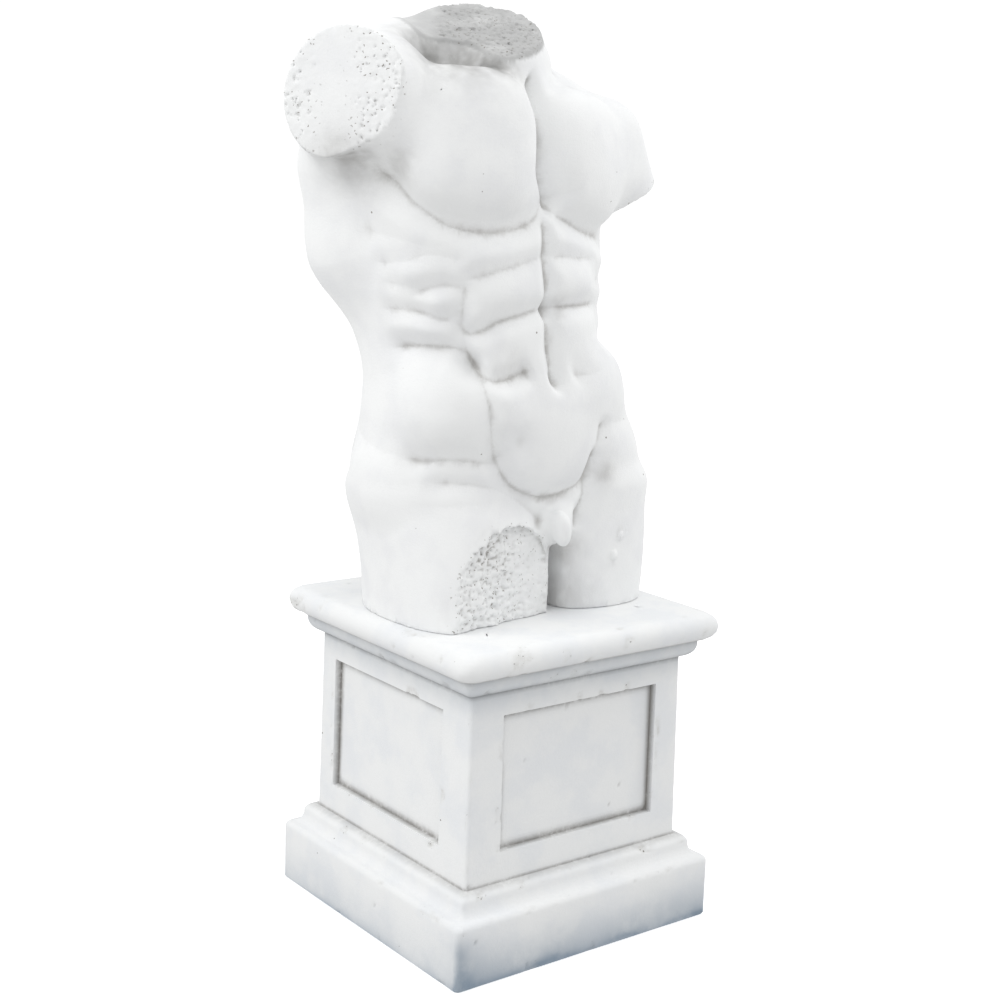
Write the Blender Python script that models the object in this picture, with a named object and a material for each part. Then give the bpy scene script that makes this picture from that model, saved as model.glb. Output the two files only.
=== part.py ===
"""A male torso in cast stone, standing on its own square panelled pedestal.

The pedestal is one casting: a base block, a moulded step, a die with a sunk
panel on each face, a bed moulding and a cap slab. The torso is a second casting
that only rests on it: neck, arms and thighs are broken off, and the front of the
right thigh is split away.

Metres, +Z up. The origin is the centre of the pedestal's underside, the figure
faces -Y, and its own left is +X.
"""

import math

import bmesh
import bpy
import numpy as np
from mathutils import Matrix, Vector

# The pedestal, in metres.
BASE_SIDE = 0.300
BASE_HEIGHT = 0.061
BASE_EDGE_RADIUS = 0.006
BASE_CORNER_RADIUS = 0.006
STEP_SIDE = 0.272
STEP_HEIGHT = 0.020
DIE_BOTTOM_SIDE = 0.2506
DIE_TOP_SIDE = 0.2460
DIE_HEIGHT = 0.178
DIE_CORNER_RADIUS = 0.004
BED_PROJECTION = 0.012
BED_HEIGHT = 0.018
CAP_SIDE = 0.302
CAP_THICKNESS = 0.026
CAP_EDGE_RADIUS = 0.0125
CAP_CORNER_RADIUS = 0.013
PANEL_WIDTH = 0.180
PANEL_RISE = 0.028
PANEL_HEIGHT = 0.127
PANEL_DEPTH = 0.0065
# How far each panel sits from the middle of its face, towards the right as one looks at it.
PANEL_SHIFTS = {"front": 0.003, "left": 0.0, "back": 0.0, "right": -0.008}

# Rounded corners and edges of the pedestal take this many segments.
CORNER_SEGMENTS = 4
EDGE_SEGMENTS = 4

PEDESTAL_HEIGHT = BASE_HEIGHT + STEP_HEIGHT + DIE_HEIGHT + BED_HEIGHT + CAP_THICKNESS

# The two castings touch with this much between their meshes.
RESTING_GAP = 0.0003

# The figure. Its forms below are given in FIGURE_PARTS-ths of its height.
TORSO_HEIGHT = 0.543
FIGURE_PARTS = 543.0
UNIT = TORSO_HEIGHT / FIGURE_PARTS

# The clay is sampled on a grid of this step. The skin is then thinned, by as much as would
# leave the unbroken figure with so many faces.
CLAY_STEP = 4.0
UNBROKEN_TRIANGLES = 10600
FIGURE_LOW = (-290, -170, -30)
FIGURE_HIGH = (215, 150, 575)

LEFT = 1.0
RIGHT = -1.0


def clear_scene():
    """Remove whatever the scene holds."""
    for held in list(bpy.data.objects):
        bpy.data.objects.remove(held, do_unlink=True)


def new_collection(name):
    """A collection of this name in the scene."""
    collection = bpy.data.collections.new(name)
    bpy.context.scene.collection.children.link(collection)
    return collection


def stone(name, colour, roughness):
    """A cast stone, as one Principled shader."""
    material = bpy.data.materials.new(name)
    material.use_nodes = True
    shader = material.node_tree.nodes["Principled BSDF"]
    shader.inputs["Base Color"].default_value = (*colour, 1.0)
    shader.inputs["Roughness"].default_value = roughness
    shader.inputs["Metallic"].default_value = 0.0
    material.diffuse_color = (*colour, 1.0)
    return material


# Clay: each form below is a function of points that says how far they lie outside it.


def turned(points, centre, turn=0.0, lean=0.0, nod=0.0):
    """The points in a frame at centre: turned about Z, leaned about Y, then nodded about X (degrees)."""
    a, b, c = (math.radians(angle) for angle in (turn, lean, nod))
    about_z = np.array([[math.cos(a), -math.sin(a), 0], [math.sin(a), math.cos(a), 0], [0, 0, 1]])
    about_y = np.array([[math.cos(b), 0, math.sin(b)], [0, 1, 0], [-math.sin(b), 0, math.cos(b)]])
    about_x = np.array([[1, 0, 0], [0, math.cos(c), -math.sin(c)], [0, math.sin(c), math.cos(c)]])
    return (points - np.array(centre, float)) @ (about_z @ about_y @ about_x)


def pad(points, centre, radii, turn=0.0, lean=0.0, nod=0.0, squareness=2.0):
    """A pad of clay: an ellipsoid, or a boxier one as its squareness rises above 2."""
    local = turned(points, centre, turn, lean, nod)
    reach = (np.abs(local / np.array(radii, float)) ** squareness).sum(axis=1) ** (1.0 / squareness)
    reach = np.maximum(reach, 1e-3)
    return np.linalg.norm(local, axis=1) * (1.0 - 1.0 / reach) - (reach < 0.01) * min(radii)


def limb(points, start, end, start_radius, end_radius):
    """A round bar between two points, tapering from one radius to the other."""
    start, end = np.array(start, float), np.array(end, float)
    along = end - start
    share = np.clip((points - start) @ along / (along @ along), 0.0, 1.0)
    nearest = start + share[:, None] * along
    return np.linalg.norm(points - nearest, axis=1) - (start_radius + share * (end_radius - start_radius))


def before(points, place, way):
    """How far points lie short of a plane through place, below zero beyond it."""
    return (np.array(place, float) - points) @ np.array(way, float)


def joined(first, second, blend):
    """Two forms run together, with a fillet of about this size where they meet."""
    overlap = np.maximum(blend - np.abs(first - second), 0.0) / blend
    return np.minimum(first, second) - overlap * overlap * blend / 4.0


def cut_by(body, tool, blend):
    """The body less the tool, with the edge eased by about this size."""
    return -joined(-body, tool, blend)


# The trunk and the thighs are lofts of rounded sections. Each section gives: height,
# middle across, middle fore and aft, half width, depth in front, depth behind, and the
# turn towards the figure's left.
TRUNK_SECTIONS = (
    (60, -3, 4, 118, 56, 70, -2),
    (100, -3, 2, 147, 76, 96, -2),
    (140, -8, 0, 147, 82, 88, -1),
    (180, -12, 0, 137, 86, 80, 0),
    (215, -20, 0, 127, 86, 76, 1),
    (250, -32, 0, 119, 84, 76, 3),
    (300, -39, 0, 124, 87, 82, 6),
    (350, -44, 0, 129, 88, 86, 7),
    (400, -46, 2, 128, 84, 86, 7),
    (450, -42, 6, 112, 72, 76, 6),
    (490, -38, 8, 64, 52, 58, 5),
)
LEFT_THIGH_SECTIONS = (
    (-40, 77, 2, 62, 76, 84, 0),
    (60, 75, 2, 71, 78, 92, 0),
    (108, 70, 0, 76, 74, 94, 0),
)
RIGHT_THIGH_SECTIONS = (
    (-40, -61, -14, 73, 90, 90, 0),
    (60, -63, -8, 78, 84, 96, 0),
    (112, -70, 0, 77, 72, 94, 0),
)
SQUARENESS = 2.5
# How far a loft's rounded end reaches beyond its last section.
LOFT_END = 30.0


def loft(points, sections):
    """A superellipse at each height, its sizes eased between the sections."""
    sections = np.array(sections, float)
    heights = sections[:, 0]
    level = np.clip(points[:, 2], heights[0], heights[-1])
    across, fore, wide, front, back, turn = (
        eased(level, heights, sections[:, column]) for column in range(1, 7)
    )
    turn = np.radians(turn)
    dx = points[:, 0] - across
    dy = points[:, 1] - fore
    u = dx * np.cos(turn) + dy * np.sin(turn)
    v = dy * np.cos(turn) - dx * np.sin(turn)
    w = points[:, 2] - level
    deep = np.where(v < 0, front, back)
    reach = np.abs(u / wide) ** SQUARENESS + np.abs(v / deep) ** SQUARENESS
    reach = np.maximum((reach + np.abs(w / LOFT_END) ** SQUARENESS) ** (1.0 / SQUARENESS), 1e-3)
    return np.sqrt(u * u + v * v + w * w) * (1.0 - 1.0 / reach) - (reach < 0.01) * LOFT_END


def eased(level, heights, values):
    """Values between the heights on a smooth curve (a cubic with the neighbours' slopes)."""
    slopes = np.gradient(values, heights)
    below = np.clip(np.searchsorted(heights, level, side="right") - 1, 0, len(heights) - 2)
    gap = heights[below + 1] - heights[below]
    t = (level - heights[below]) / gap
    start, end = values[below], values[below + 1]
    rise, fall = slopes[below] * gap, slopes[below + 1] * gap
    return (
        (2 * t**3 - 3 * t**2 + 1) * start
        + (t**3 - 2 * t**2 + t) * rise
        + (3 * t**2 - 2 * t**3) * end
        + (t**3 - t**2) * fall
    )


# Creases, drawn on the body unrolled about its axis. Each gives its depth and width, then
# its course as (degrees round from the middle, height), towards the figure's left.
FRONT_CREASES = (
    # Breastbone, and the lower edges of the breast muscles.
    (18, 7, ((0, 482), (11, 456), (15, 429), (16, 400), (19, 380), (25, 366))),
    (9, 7, ((-78, 404), (-68, 387), (-60, 371), (-48, 355), (-30, 350), (-9, 354), (5, 362), (15, 380))),
    (9, 7, ((17, 388), (23, 368), (33, 360), (51, 349), (76, 343))),
    # The white line down the belly, and the bands across it.
    (8, 5, ((12, 368), (11, 325), (12, 300), (12, 265), (10, 244), (7, 214))),
    (5, 6, ((-47, 308), (-31, 315), (-22, 319), (6, 329), (14, 330), (38, 328), (56, 326))),
    (8, 5, ((-48, 274), (-43, 264), (-34, 267), (-23, 275), (6, 283), (32, 285), (60, 286))),
    (7, 5, ((-45, 254), (-43, 231), (-36, 223), (-29, 223), (-8, 232))),
    (3, 7, ((54, 244), (40, 226), (18, 224))),
    # The outer edges of the belly muscle.
    (6, 5, ((-41, 312), (-43, 296), (-45, 276), (-45, 252), (-41, 224), (-39, 202), (-40, 173), (-40, 146))),
    (3, 7, ((54, 326), (57, 286), (58, 250), (54, 224), (48, 200), (38, 168))),
    # Ribs, and the finger-like muscles over them.
    (5, 5, ((-66, 290), (-62, 298), (-53, 305), (-38, 302))),
    (5, 5, ((-70, 282), (-60, 281), (-52, 277), (-41, 287))),
    (5, 6, ((-82, 282), (-66, 283), (-58, 277), (-48, 273), (-40, 264))),
    (8, 6, ((-80, 248), (-67, 252), (-56, 252), (-50, 251), (-41, 244))),
    (4, 7, ((-80, 306), (-69, 304), (-57, 301), (-42, 310))),
    (4, 7, ((-82, 322), (-67, 324), (-55, 331), (-38, 324))),
    (3, 8, ((-88, 352), (-66, 342), (-51, 338), (-34, 346))),
    (5, 7, ((56, 250), (74, 252), (92, 260))),
    (4, 7, ((52, 286), (68, 282), (86, 292))),
    (4, 7, ((52, 306), (68, 309), (84, 320))),
    # The rim of the hips and the lower edge of the belly.
    (3, 9, ((-108, 172), (-88, 158), (-62, 152))),
    (7, 6, ((-78, 152), (-68, 151), (-58, 152), (-49, 150), (-36, 146))),
    (8, 6, ((-42, 162), (-34, 132), (-24, 120), (-8, 113), (10, 114), (27, 122), (35, 138), (42, 186))),
    (4, 9, ((42, 178), (56, 176), (74, 182), (96, 194))),
    (5, 7, ((-68, 134), (-49, 129), (-37, 121), (-19, 103), (-4, 86))),
    (8, 6, ((40, 158), (33, 129), (29, 105), (24, 78))),
)
BACK_CREASES = (
    (9, 14, ((0, 452), (-1, 380), (-1, 300), (0, 220), (0, 150))),
    (18, 9, ((0, 128), (1, 90), (2, 40), (2, -20))),
    (6, 7, ((-62, 40), (-40, 28), (-18, 34), (2, 44))),
    (6, 7, ((62, 40), (40, 28), (18, 34), (2, 44))),
    (5, 11, ((-14, 436), (-22, 400), (-30, 350), (-48, 330))),
    (5, 11, ((14, 430), (22, 396), (30, 346), (48, 326))),
    (3, 10, ((-8, 214), (-24, 250), (-50, 290))),
    (3, 10, ((8, 214), (24, 250), (50, 290))),
    (4, 10, ((-10, 138), (-30, 162), (-58, 176))),
    (4, 10, ((10, 138), (30, 164), (58, 184))),
)
# Hollows: depth, radius and place, drawn in the same way. A depth below zero is a swelling.
FRONT_HOLLOWS = (
    (9, 7, (7, 218)),
    (7, 8, (13, 283)),
    (6, 10, (-43, 236)),
    (4, 15, (-26, 168)),
    # Blocks of the belly muscle.
    (-3, 24, (-15, 298)),
    (-3, 24, (-16, 250)),
    (-3, 22, (34, 306)),
    (-3, 24, (34, 256)),
    # Ribs, the muscle fingers over them, and the sides of the belly.
    (-3, 12, (-53, 291)),
    (-3, 13, (-60, 265)),
    (-3, 14, (-64, 314)),
    (-4, 36, (-68, 196)),
)
# The body is unrolled on a cylinder of this radius.
UNROLLED_RADIUS = 100.0
# Creases are only looked for this near the skin.
SKIN = 24.0
# A crease reaches its depth this far from its ends.
CREASE_FADE = 14.0


def unrolled(points, back):
    """Each point's place on the body unrolled about its axis: round from the middle, and height."""
    sections = np.array(TRUNK_SECTIONS, float)
    level = np.clip(points[:, 2], sections[0, 0], sections[-1, 0])
    out = points[:, 0] - eased(level, sections[:, 0], sections[:, 1])
    ahead = points[:, 1] if back else -points[:, 1]
    return np.stack([np.arctan2(out, ahead) * UNROLLED_RADIUS, points[:, 2]], axis=1)


def smooth_course(marks, steps=4):
    """The marks of a crease, with a smooth curve's points put between them."""
    marks = np.array(marks, float) * [math.radians(UNROLLED_RADIUS), 1.0]
    padded = np.concatenate([[2 * marks[0] - marks[1]], marks, [2 * marks[-1] - marks[-2]]])
    course = []
    for before, start, end, after in zip(padded, padded[1:], padded[2:], padded[3:]):
        for i in range(steps):
            t = i / steps
            course.append(
                start
                + 0.5 * t * (end - before)
                + t * t * (before - 2.5 * start + 2.0 * end - 0.5 * after)
                + t**3 * (1.5 * (start - end) + 0.5 * (after - before))
            )
    course.append(padded[-2])
    return np.array(course)


def groove(course, places, deep, wide):
    """How deep one crease goes at each place: a soft valley with a finer line in it, faded at its ends."""
    gap = np.full(len(places), np.inf)
    run = np.zeros(len(places))
    done = 0.0
    for start, end in zip(course, course[1:]):
        along = end - start
        length = math.hypot(*along)
        share = np.clip((places - start) @ along / (length * length), 0.0, 1.0)
        offset = places - start - share[:, None] * along
        distance = np.hypot(offset[:, 0], offset[:, 1])
        run = np.where(distance < gap, done + share * length, run)
        gap = np.minimum(gap, distance)
        done += length
    fade = np.clip((np.minimum(run, done - run) + 4.0) / (CREASE_FADE + 4.0), 0.0, 1.0)
    fade = fade * fade * (3.0 - 2.0 * fade)
    return deep * fade * (0.72 * np.exp(-((gap / (2.0 * wide)) ** 2)) + 0.28 * np.exp(-gap / (0.6 * wide)))


def creased(points, creases, back):
    """How deep the creases go at each point."""
    places = unrolled(points, back)
    depth = np.zeros(len(points))
    for deep, wide, marks in creases:
        course = smooth_course(marks)
        low, high = course.min(axis=0) - 5 * wide, course.max(axis=0) + 5 * wide
        near = np.flatnonzero(((places > low) & (places < high)).all(axis=1))
        depth[near] = np.hypot(depth[near], groove(course, places[near], deep, wide))
    return depth


def relief(points):
    """How far the skin is drawn in at each point, front and back."""
    depth = np.zeros(len(points))
    front = points[:, 1] < 40
    back = points[:, 1] > 0
    depth[front] = creased(points[front], FRONT_CREASES, False)
    depth[back] = np.maximum(depth[back], creased(points[back], BACK_CREASES, True))
    places = unrolled(points[front], False)
    for deep, wide, (round_from_middle, height) in FRONT_HOLLOWS:
        middle = (math.radians(round_from_middle) * UNROLLED_RADIUS, height)
        gap = ((places - middle) ** 2).sum(axis=1)
        depth[front] += deep * np.exp(-gap / (wide * wide))
    return depth


def figure(points):
    """The whole figure before it is broken: below zero inside the stone."""
    body = masses(points)
    near = np.flatnonzero(np.abs(body) < SKIN)
    body[near] += relief(points[near])
    return body


def masses(points):
    """The figure's main forms, run together."""
    body = loft(points, TRUNK_SECTIONS)
    chest = turned(points, (-46, 0, 400), turn=7, lean=5)
    # The broad back below each arm; the raised right arm draws its side out.
    body = joined(body, limb(points, (-142, 38, 402), (-131, 37, 334), 56, 53), 20)
    body = joined(body, limb(points, (-131, 37, 334), (-96, 24, 240), 53, 31), 20)
    body = joined(body, limb(points, (40, 40, 385), (44, 26, 250), 52, 42), 30)
    # Shoulders and arms.
    body = joined(body, pad(chest, (LEFT * 102, 8, 30), (52, 52, 60), lean=-20), 30)
    body = joined(body, pad(chest, (RIGHT * 104, 4, 40), (56, 54, 60)), 30)
    right_arm = limb(points, (-140, 10, 450), (-240, -64, 466), 53, 54)
    right_arm = joined(right_arm, limb(points, (-150, 22, 434), (-236, -52, 454), 40, 40), 20)
    right_arm = cut_by(right_arm, before(points, (-191, -58, 443), (0.46, -0.61, -0.644)), 14)
    body = joined(body, right_arm, 26)
    body = joined(body, limb(points, (90, 2, 430), (156, -4, 330), 44, 34), 20)
    # Neck and the slope from it to each shoulder.
    body = joined(body, limb(points, (-38, 12, 470), (-36, 2, 590), 52, 52), 22)
    body = joined(body, limb(chest, (0, 22, 92), (LEFT * 92, 14, 70), 34, 32), 24)
    body = joined(body, limb(points, (-60, 30, 506), (-146, 24, 484), 36, 38), 20)
    # Breast muscles, and the parts of them that run out to the arms.
    body = joined(body, limb(points, (-95, -44, 408), (-200, -28, 466), 46, 31), 24)
    body = joined(body, limb(points, (24, -40, 430), (94, -16, 434), 38, 28), 20)
    body = joined(body, limb(points, (30, -42, 398), (98, -14, 402), 40, 32), 20)
    body = joined(body, limb(points, (-48, -14, 440), (-46, -6, 474), 54, 46), 16)
    body = joined(body, limb(points, (-45, -32, 448), (-44, -14, 484), 40, 40), 24)
    body = joined(body, pad(chest, (LEFT * 62, -34, 13), (59, 54, 68), 16, 0, -6, 3.0), 8)
    body = joined(body, pad(chest, (RIGHT * 57, -34, 14), (66, 56, 70), -16, 0, -6, 3.0), 8)
    # The hollow behind the right collar bone, and the armpit below the raised arm.
    body = cut_by(body, pad(points, (-104, -34, 508), (36, 28, 32)), 12)
    body = cut_by(body, limb(points, (-212, -10, 394), (-190, -40, 398), 13, 7), 12)
    # The neck is broken off along a tilted plane.
    body = cut_by(body, pad(points, (-48, -21, 580), (78, 92, 60), 0, -10, 22, 8.0), 4)
    # The flanks above the hips.
    body = joined(body, pad(points, (-78, -30, 200), (60, 62, 50), -20, 0, 0, 2.4), 16)
    body = joined(body, pad(points, (44, -34, 208), (46, 48, 44), 20, 0, 0, 2.4), 16)
    # Belly and buttocks.
    hips = turned(points, (-6, 2, 110), turn=-2, lean=-3)
    body = joined(body, pad(hips, (0, -46, 62), (62, 46, 74)), 14)
    for side in (LEFT, RIGHT):
        body = joined(body, pad(hips, (side * 62, 48, -4), (62, 60, 66)), 16)
    body = joined(body, loft(points, LEFT_THIGH_SECTIONS), 18)
    body = joined(body, loft(points, RIGHT_THIGH_SECTIONS), 12)
    # The gap between the thighs.
    body = cut_by(body, pad(points, (17, -80, 0), (8, 60, 68), squareness=2.4), 12)
    body = joined(body, pad(points, (10, -64, 88), (19, 17, 22)), 9)
    body = joined(body, pad(points, (5, -80, 84), (9, 10, 18), lean=-12), 5)
    return body


def surface_of(form, low, high, step):
    """The skin of a form between two corners: one point in each cell it crosses, one face about each edge.

    Each point is then moved along the form's slope until it lies on the skin.
    """
    axes = [np.arange(low[i], high[i] + step, step) for i in range(3)]
    grid = np.stack(np.meshgrid(*axes, indexing="ij"), axis=-1)
    shape = grid.shape[:3]
    value = np.full(shape, float(step))
    core = (slice(1, -1),) * 3
    value[core] = form(grid[core].reshape(-1, 3)).reshape(value[core].shape)
    settle_corners(value, step)
    inside = value < 0.0
    total = np.zeros(tuple(n - 1 for n in shape) + (3,))
    count = np.zeros(total.shape[:3])
    crossings = []
    for axis in range(3):
        near = [slice(None)] * 3
        far = [slice(None)] * 3
        near[axis], far[axis] = slice(0, -1), slice(1, None)
        near, far = tuple(near), tuple(far)
        crossed = inside[near] != inside[far]
        share = value[near] / np.where(crossed, value[near] - value[far], 1.0)
        place = np.where(crossed[..., None], grid[near] + share[..., None] * step * np.eye(3)[axis], 0.0)
        others = [i for i in range(3) if i != axis]
        for a in (0, 1):
            for b in (0, 1):
                part = [slice(None)] * 3
                part[others[0]] = slice(a, shape[others[0]] - 1 + a)
                part[others[1]] = slice(b, shape[others[1]] - 1 + b)
                total += place[tuple(part)]
                count += crossed[tuple(part)]
        crossings.append((axis, others, crossed, inside[near]))
    used = count > 0
    index = np.full(used.shape, -1)
    index[used] = np.arange(used.sum())
    points = total[used] / count[used][:, None]
    faces = []
    for axis, (first, second), crossed, solid in crossings:
        cell = np.argwhere(crossed)
        corner = []
        for a, b in ((-1, -1), (0, -1), (0, 0), (-1, 0)):
            at = cell.copy()
            at[:, first] += a
            at[:, second] += b
            corner.append(index[tuple(at.T)])
        face = np.stack(corner, axis=1)
        flip = solid[tuple(cell.T)] != (axis == 1)
        face[~flip] = face[~flip][:, ::-1]
        faces.append(face)
    return settled(points, form, step), np.concatenate(faces)


def settle_corners(value, step):
    """Grid squares with two opposite corners inside would pinch the skin: one corner is turned over."""
    for _ in range(8):
        for first, second in ((0, 1), (0, 2), (1, 2)):
            spread = np.eye(3, dtype=int)[[first, second]]
            low = [np.array((0, 0, 0)), spread[0], spread[1], spread[0] + spread[1]]
            size = np.array(value.shape) - spread.sum(axis=0)
            corners = [value[tuple(slice(a, a + n) for a, n in zip(at, size))] for at in low]
            inside = [corner < 0.0 for corner in corners]
            pinched = (inside[0] == inside[3]) & (inside[1] == inside[2]) & (inside[0] != inside[1])
            for cell in np.argwhere(pinched):
                places = [tuple(cell + at) for at in low]
                weakest = min(places, key=lambda place: abs(value[place]))
                value[weakest] = math.copysign(0.1 * step, -value[weakest])


def settled(points, form, step):
    """The points moved along the form's slope onto its skin, at most half a step each time."""
    probe = 0.02 * step
    for _ in range(2):
        value = form(points)
        slope = np.stack([form(points + probe * axis) - value for axis in np.eye(3)], axis=1) / probe
        shift = value / np.maximum((slope * slope).sum(axis=1), 0.05)
        shift = np.clip(shift, -0.5 * step, 0.5 * step)
        points = points - shift[:, None] * slope
    return points


def figure_mesh():
    """The unbroken figure as a mesh, in metres, standing on the height of the cap."""
    points, faces = surface_of(figure, FIGURE_LOW, FIGURE_HIGH, CLAY_STEP)
    mesh = bpy.data.meshes.new("torso")
    mesh.from_pydata((points * UNIT + [0, 0, PEDESTAL_HEIGHT]).tolist(), [], faces.tolist())
    mesh.update()
    return mesh


def slab(name, collection):
    """A unit slab whose top face is centred on its origin, as a cutter."""
    mesh = bpy.data.meshes.new(name)
    block = bmesh.new()
    bmesh.ops.create_cube(block, size=1.0)
    bmesh.ops.translate(block, verts=block.verts, vec=(0, 0, -0.5))
    block.to_mesh(mesh)
    block.free()
    cutter = bpy.data.objects.new(name, mesh)
    cutter.hide_render = True
    cutter.display_type = "WIRE"
    collection.objects.link(cutter)
    return cutter


# Where the figure is broken: a point on each break, the way the lost piece went, and
# how far the cutter reaches across, up and outwards.
BREAKS = {
    "right_arm_break": ((-206, -38, 464), (-0.80, -0.60, 0.0), (170, 170, 120)),
    "left_arm_break": ((144.6, -10, 396.3), (0.48, 0.0, -0.88), (140, 136, 120)),
}


def break_cutter(name, collection):
    """A block that takes away what lay beyond one break."""
    place, way, reach = BREAKS[name]
    cutter = slab(name, collection)
    turn = Vector(way).to_track_quat("-Z", "Y").to_matrix().to_4x4()
    size = Matrix.Diagonal((reach[0] * UNIT, reach[1] * UNIT, reach[2] * UNIT, 1.0))
    middle = Matrix.Translation(Vector(place) * UNIT + Vector((0, 0, PEDESTAL_HEIGHT)))
    cutter.data.transform(middle @ turn @ size)
    return cutter


# The front of the right thigh is split off along an upright plane, up to an arched edge:
# the middle of the split at the ground, the way it faces, and its half width and height.
SPLIT_PLACE = (-52, -73, 0)
SPLIT_TURN = 9.8
SPLIT_HALF_WIDTH = 63
SPLIT_HEIGHT = 89
SPLIT_SQUARENESS = 2.4
SPLIT_STEPS = 24


def split_cutter(collection):
    """The arched block that takes away the front of the right thigh."""
    block = bmesh.new()
    outline = []
    for i in range(SPLIT_STEPS):
        angle = 2 * math.pi * i / SPLIT_STEPS
        c, s = math.cos(angle), math.sin(angle)
        x = math.copysign(abs(c) ** (2 / SPLIT_SQUARENESS), c) * SPLIT_HALF_WIDTH
        z = math.copysign(abs(s) ** (2 / SPLIT_SQUARENESS), s) * SPLIT_HEIGHT
        outline.append(block.verts.new((x, 0, z)))
    face = block.faces.new(outline)
    grown = bmesh.ops.extrude_face_region(block, geom=[face])
    moved = [item for item in grown["geom"] if isinstance(item, bmesh.types.BMVert)]
    bmesh.ops.translate(block, verts=moved, vec=(0, -SPLIT_HEIGHT, 0))
    bmesh.ops.recalc_face_normals(block, faces=block.faces)
    mesh = bpy.data.meshes.new("right_thigh_split")
    block.to_mesh(mesh)
    block.free()
    turn = Matrix.Rotation(math.radians(SPLIT_TURN), 4, "Z")
    middle = Matrix.Translation(Vector(SPLIT_PLACE) * UNIT + Vector((0, 0, PEDESTAL_HEIGHT)))
    mesh.transform(middle @ turn @ Matrix.Scale(UNIT, 4))
    cutter = bpy.data.objects.new("right_thigh_split", mesh)
    cutter.hide_render = True
    cutter.display_type = "WIRE"
    collection.objects.link(cutter)
    return cutter


def build_torso(parts, cutters, material):
    """The figure, cut flat below and at each break, then thinned to its faces."""
    torso = bpy.data.objects.new("torso", figure_mesh())
    torso.data.materials.append(material)
    torso.data.shade_smooth()
    parts.objects.link(torso)
    ground = slab("torso_underside", cutters)
    ground.data.transform(Matrix.Translation((0, 0, PEDESTAL_HEIGHT + RESTING_GAP)) @ Matrix.Scale(0.6, 4))
    breaks = [break_cutter(name, cutters) for name in BREAKS]
    for cutter in [ground, *breaks, split_cutter(cutters)]:
        cut = torso.modifiers.new(cutter.name, "BOOLEAN")
        cut.operation = "DIFFERENCE"
        cut.solver = "MANIFOLD"
        cut.object = cutter
    thin = torso.modifiers.new("thin", "DECIMATE")
    thin.ratio = UNBROKEN_TRIANGLES / (2 * len(torso.data.polygons))
    return torso


def rounded_square(half, radius, height):
    """The points of a square with rounded corners, anticlockwise from the +X side."""
    points = []
    for corner in range(4):
        for step in range(CORNER_SEGMENTS + 1):
            angle = math.radians(90 * (corner + step / CORNER_SEGMENTS))
            middle = math.radians(90 * corner + 45)
            inset = (half - radius) * math.sqrt(2)
            x = inset * math.cos(middle) + radius * math.cos(angle)
            y = inset * math.sin(middle) + radius * math.sin(angle)
            points.append((x, y, height))
    return points


def arc(middle, height, across, up, start, end):
    """Points (half side, height) along an elliptical arc, its angles in degrees from outwards."""
    steps = [start + (end - start) * i / EDGE_SEGMENTS for i in range(EDGE_SEGMENTS + 1)]
    return [
        (middle + across * math.cos(math.radians(a)), height + up * math.sin(math.radians(a))) for a in steps
    ]


def pedestal_profile():
    """(half side, height, corner radius) of the pedestal from its underside to its top."""
    base, cap = BASE_SIDE / 2, CAP_SIDE / 2
    die_bottom, die_top = DIE_BOTTOM_SIDE / 2, DIE_TOP_SIDE / 2
    step_top = BASE_HEIGHT + STEP_HEIGHT
    die_head = step_top + DIE_HEIGHT
    bed_top = die_head + BED_HEIGHT
    step = STEP_SIDE / 2
    roll = STEP_HEIGHT * 0.4
    rows = [(base, 0.0, BASE_CORNER_RADIUS)]
    rows += [
        (half, height, BASE_CORNER_RADIUS)
        for half, height in arc(
            base - BASE_EDGE_RADIUS, BASE_HEIGHT - BASE_EDGE_RADIUS, BASE_EDGE_RADIUS, BASE_EDGE_RADIUS, 0, 90
        )
    ]
    # A hollow runs up from the base to a small roll against the die.
    hollow_top = step_top - roll
    top_edge = base - BASE_EDGE_RADIUS
    sweep = arc(top_edge, hollow_top, top_edge - step, hollow_top - BASE_HEIGHT, -90, -180)
    rows += [(half, height, DIE_CORNER_RADIUS) for half, height in sweep[1:]]
    rows += [
        (half, height, DIE_CORNER_RADIUS)
        for half, height in arc(die_bottom, hollow_top, step - die_bottom, roll, 0, 90)[1:]
    ]
    rows.append((die_top, die_head, DIE_CORNER_RADIUS))
    # The bed moulding swells out below the cap and ends in a narrow upright band.
    band = BED_HEIGHT * 0.28
    rows += [
        (half, height, DIE_CORNER_RADIUS)
        for half, height in arc(die_top, bed_top - band, BED_PROJECTION, BED_HEIGHT - band, -80, 0)
    ]
    rows.append((die_top + BED_PROJECTION, bed_top, DIE_CORNER_RADIUS))
    rows += [
        (half, height, CAP_CORNER_RADIUS)
        for half, height in arc(
            cap - CAP_EDGE_RADIUS, bed_top + CAP_THICKNESS / 2, CAP_EDGE_RADIUS, CAP_THICKNESS / 2, -90, 90
        )
    ]
    return rows


def build_pedestal(parts, cutters, material):
    """The pedestal: its profile carried round a square, with a panel sunk in each face."""
    shell = bmesh.new()
    rings = [
        [shell.verts.new(point) for point in rounded_square(half, radius, height)]
        for half, height, radius in pedestal_profile()
    ]
    for lower, upper in zip(rings, rings[1:]):
        for i in range(len(lower)):
            j = (i + 1) % len(lower)
            shell.faces.new((lower[i], lower[j], upper[j], upper[i]))
    shell.faces.new(list(reversed(rings[0])))
    shell.faces.new(rings[-1])
    mesh = bpy.data.meshes.new("pedestal")
    shell.to_mesh(mesh)
    shell.free()
    mesh.materials.append(material)
    pedestal = bpy.data.objects.new("pedestal", mesh)
    parts.objects.link(pedestal)
    for quarter, (face, shift) in enumerate(PANEL_SHIFTS.items()):
        cutter = panel_cutter(f"{face}_panel", quarter, shift, cutters)
        cut = pedestal.modifiers.new(cutter.name, "BOOLEAN")
        cut.operation = "DIFFERENCE"
        cut.object = cutter
    return pedestal


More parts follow.
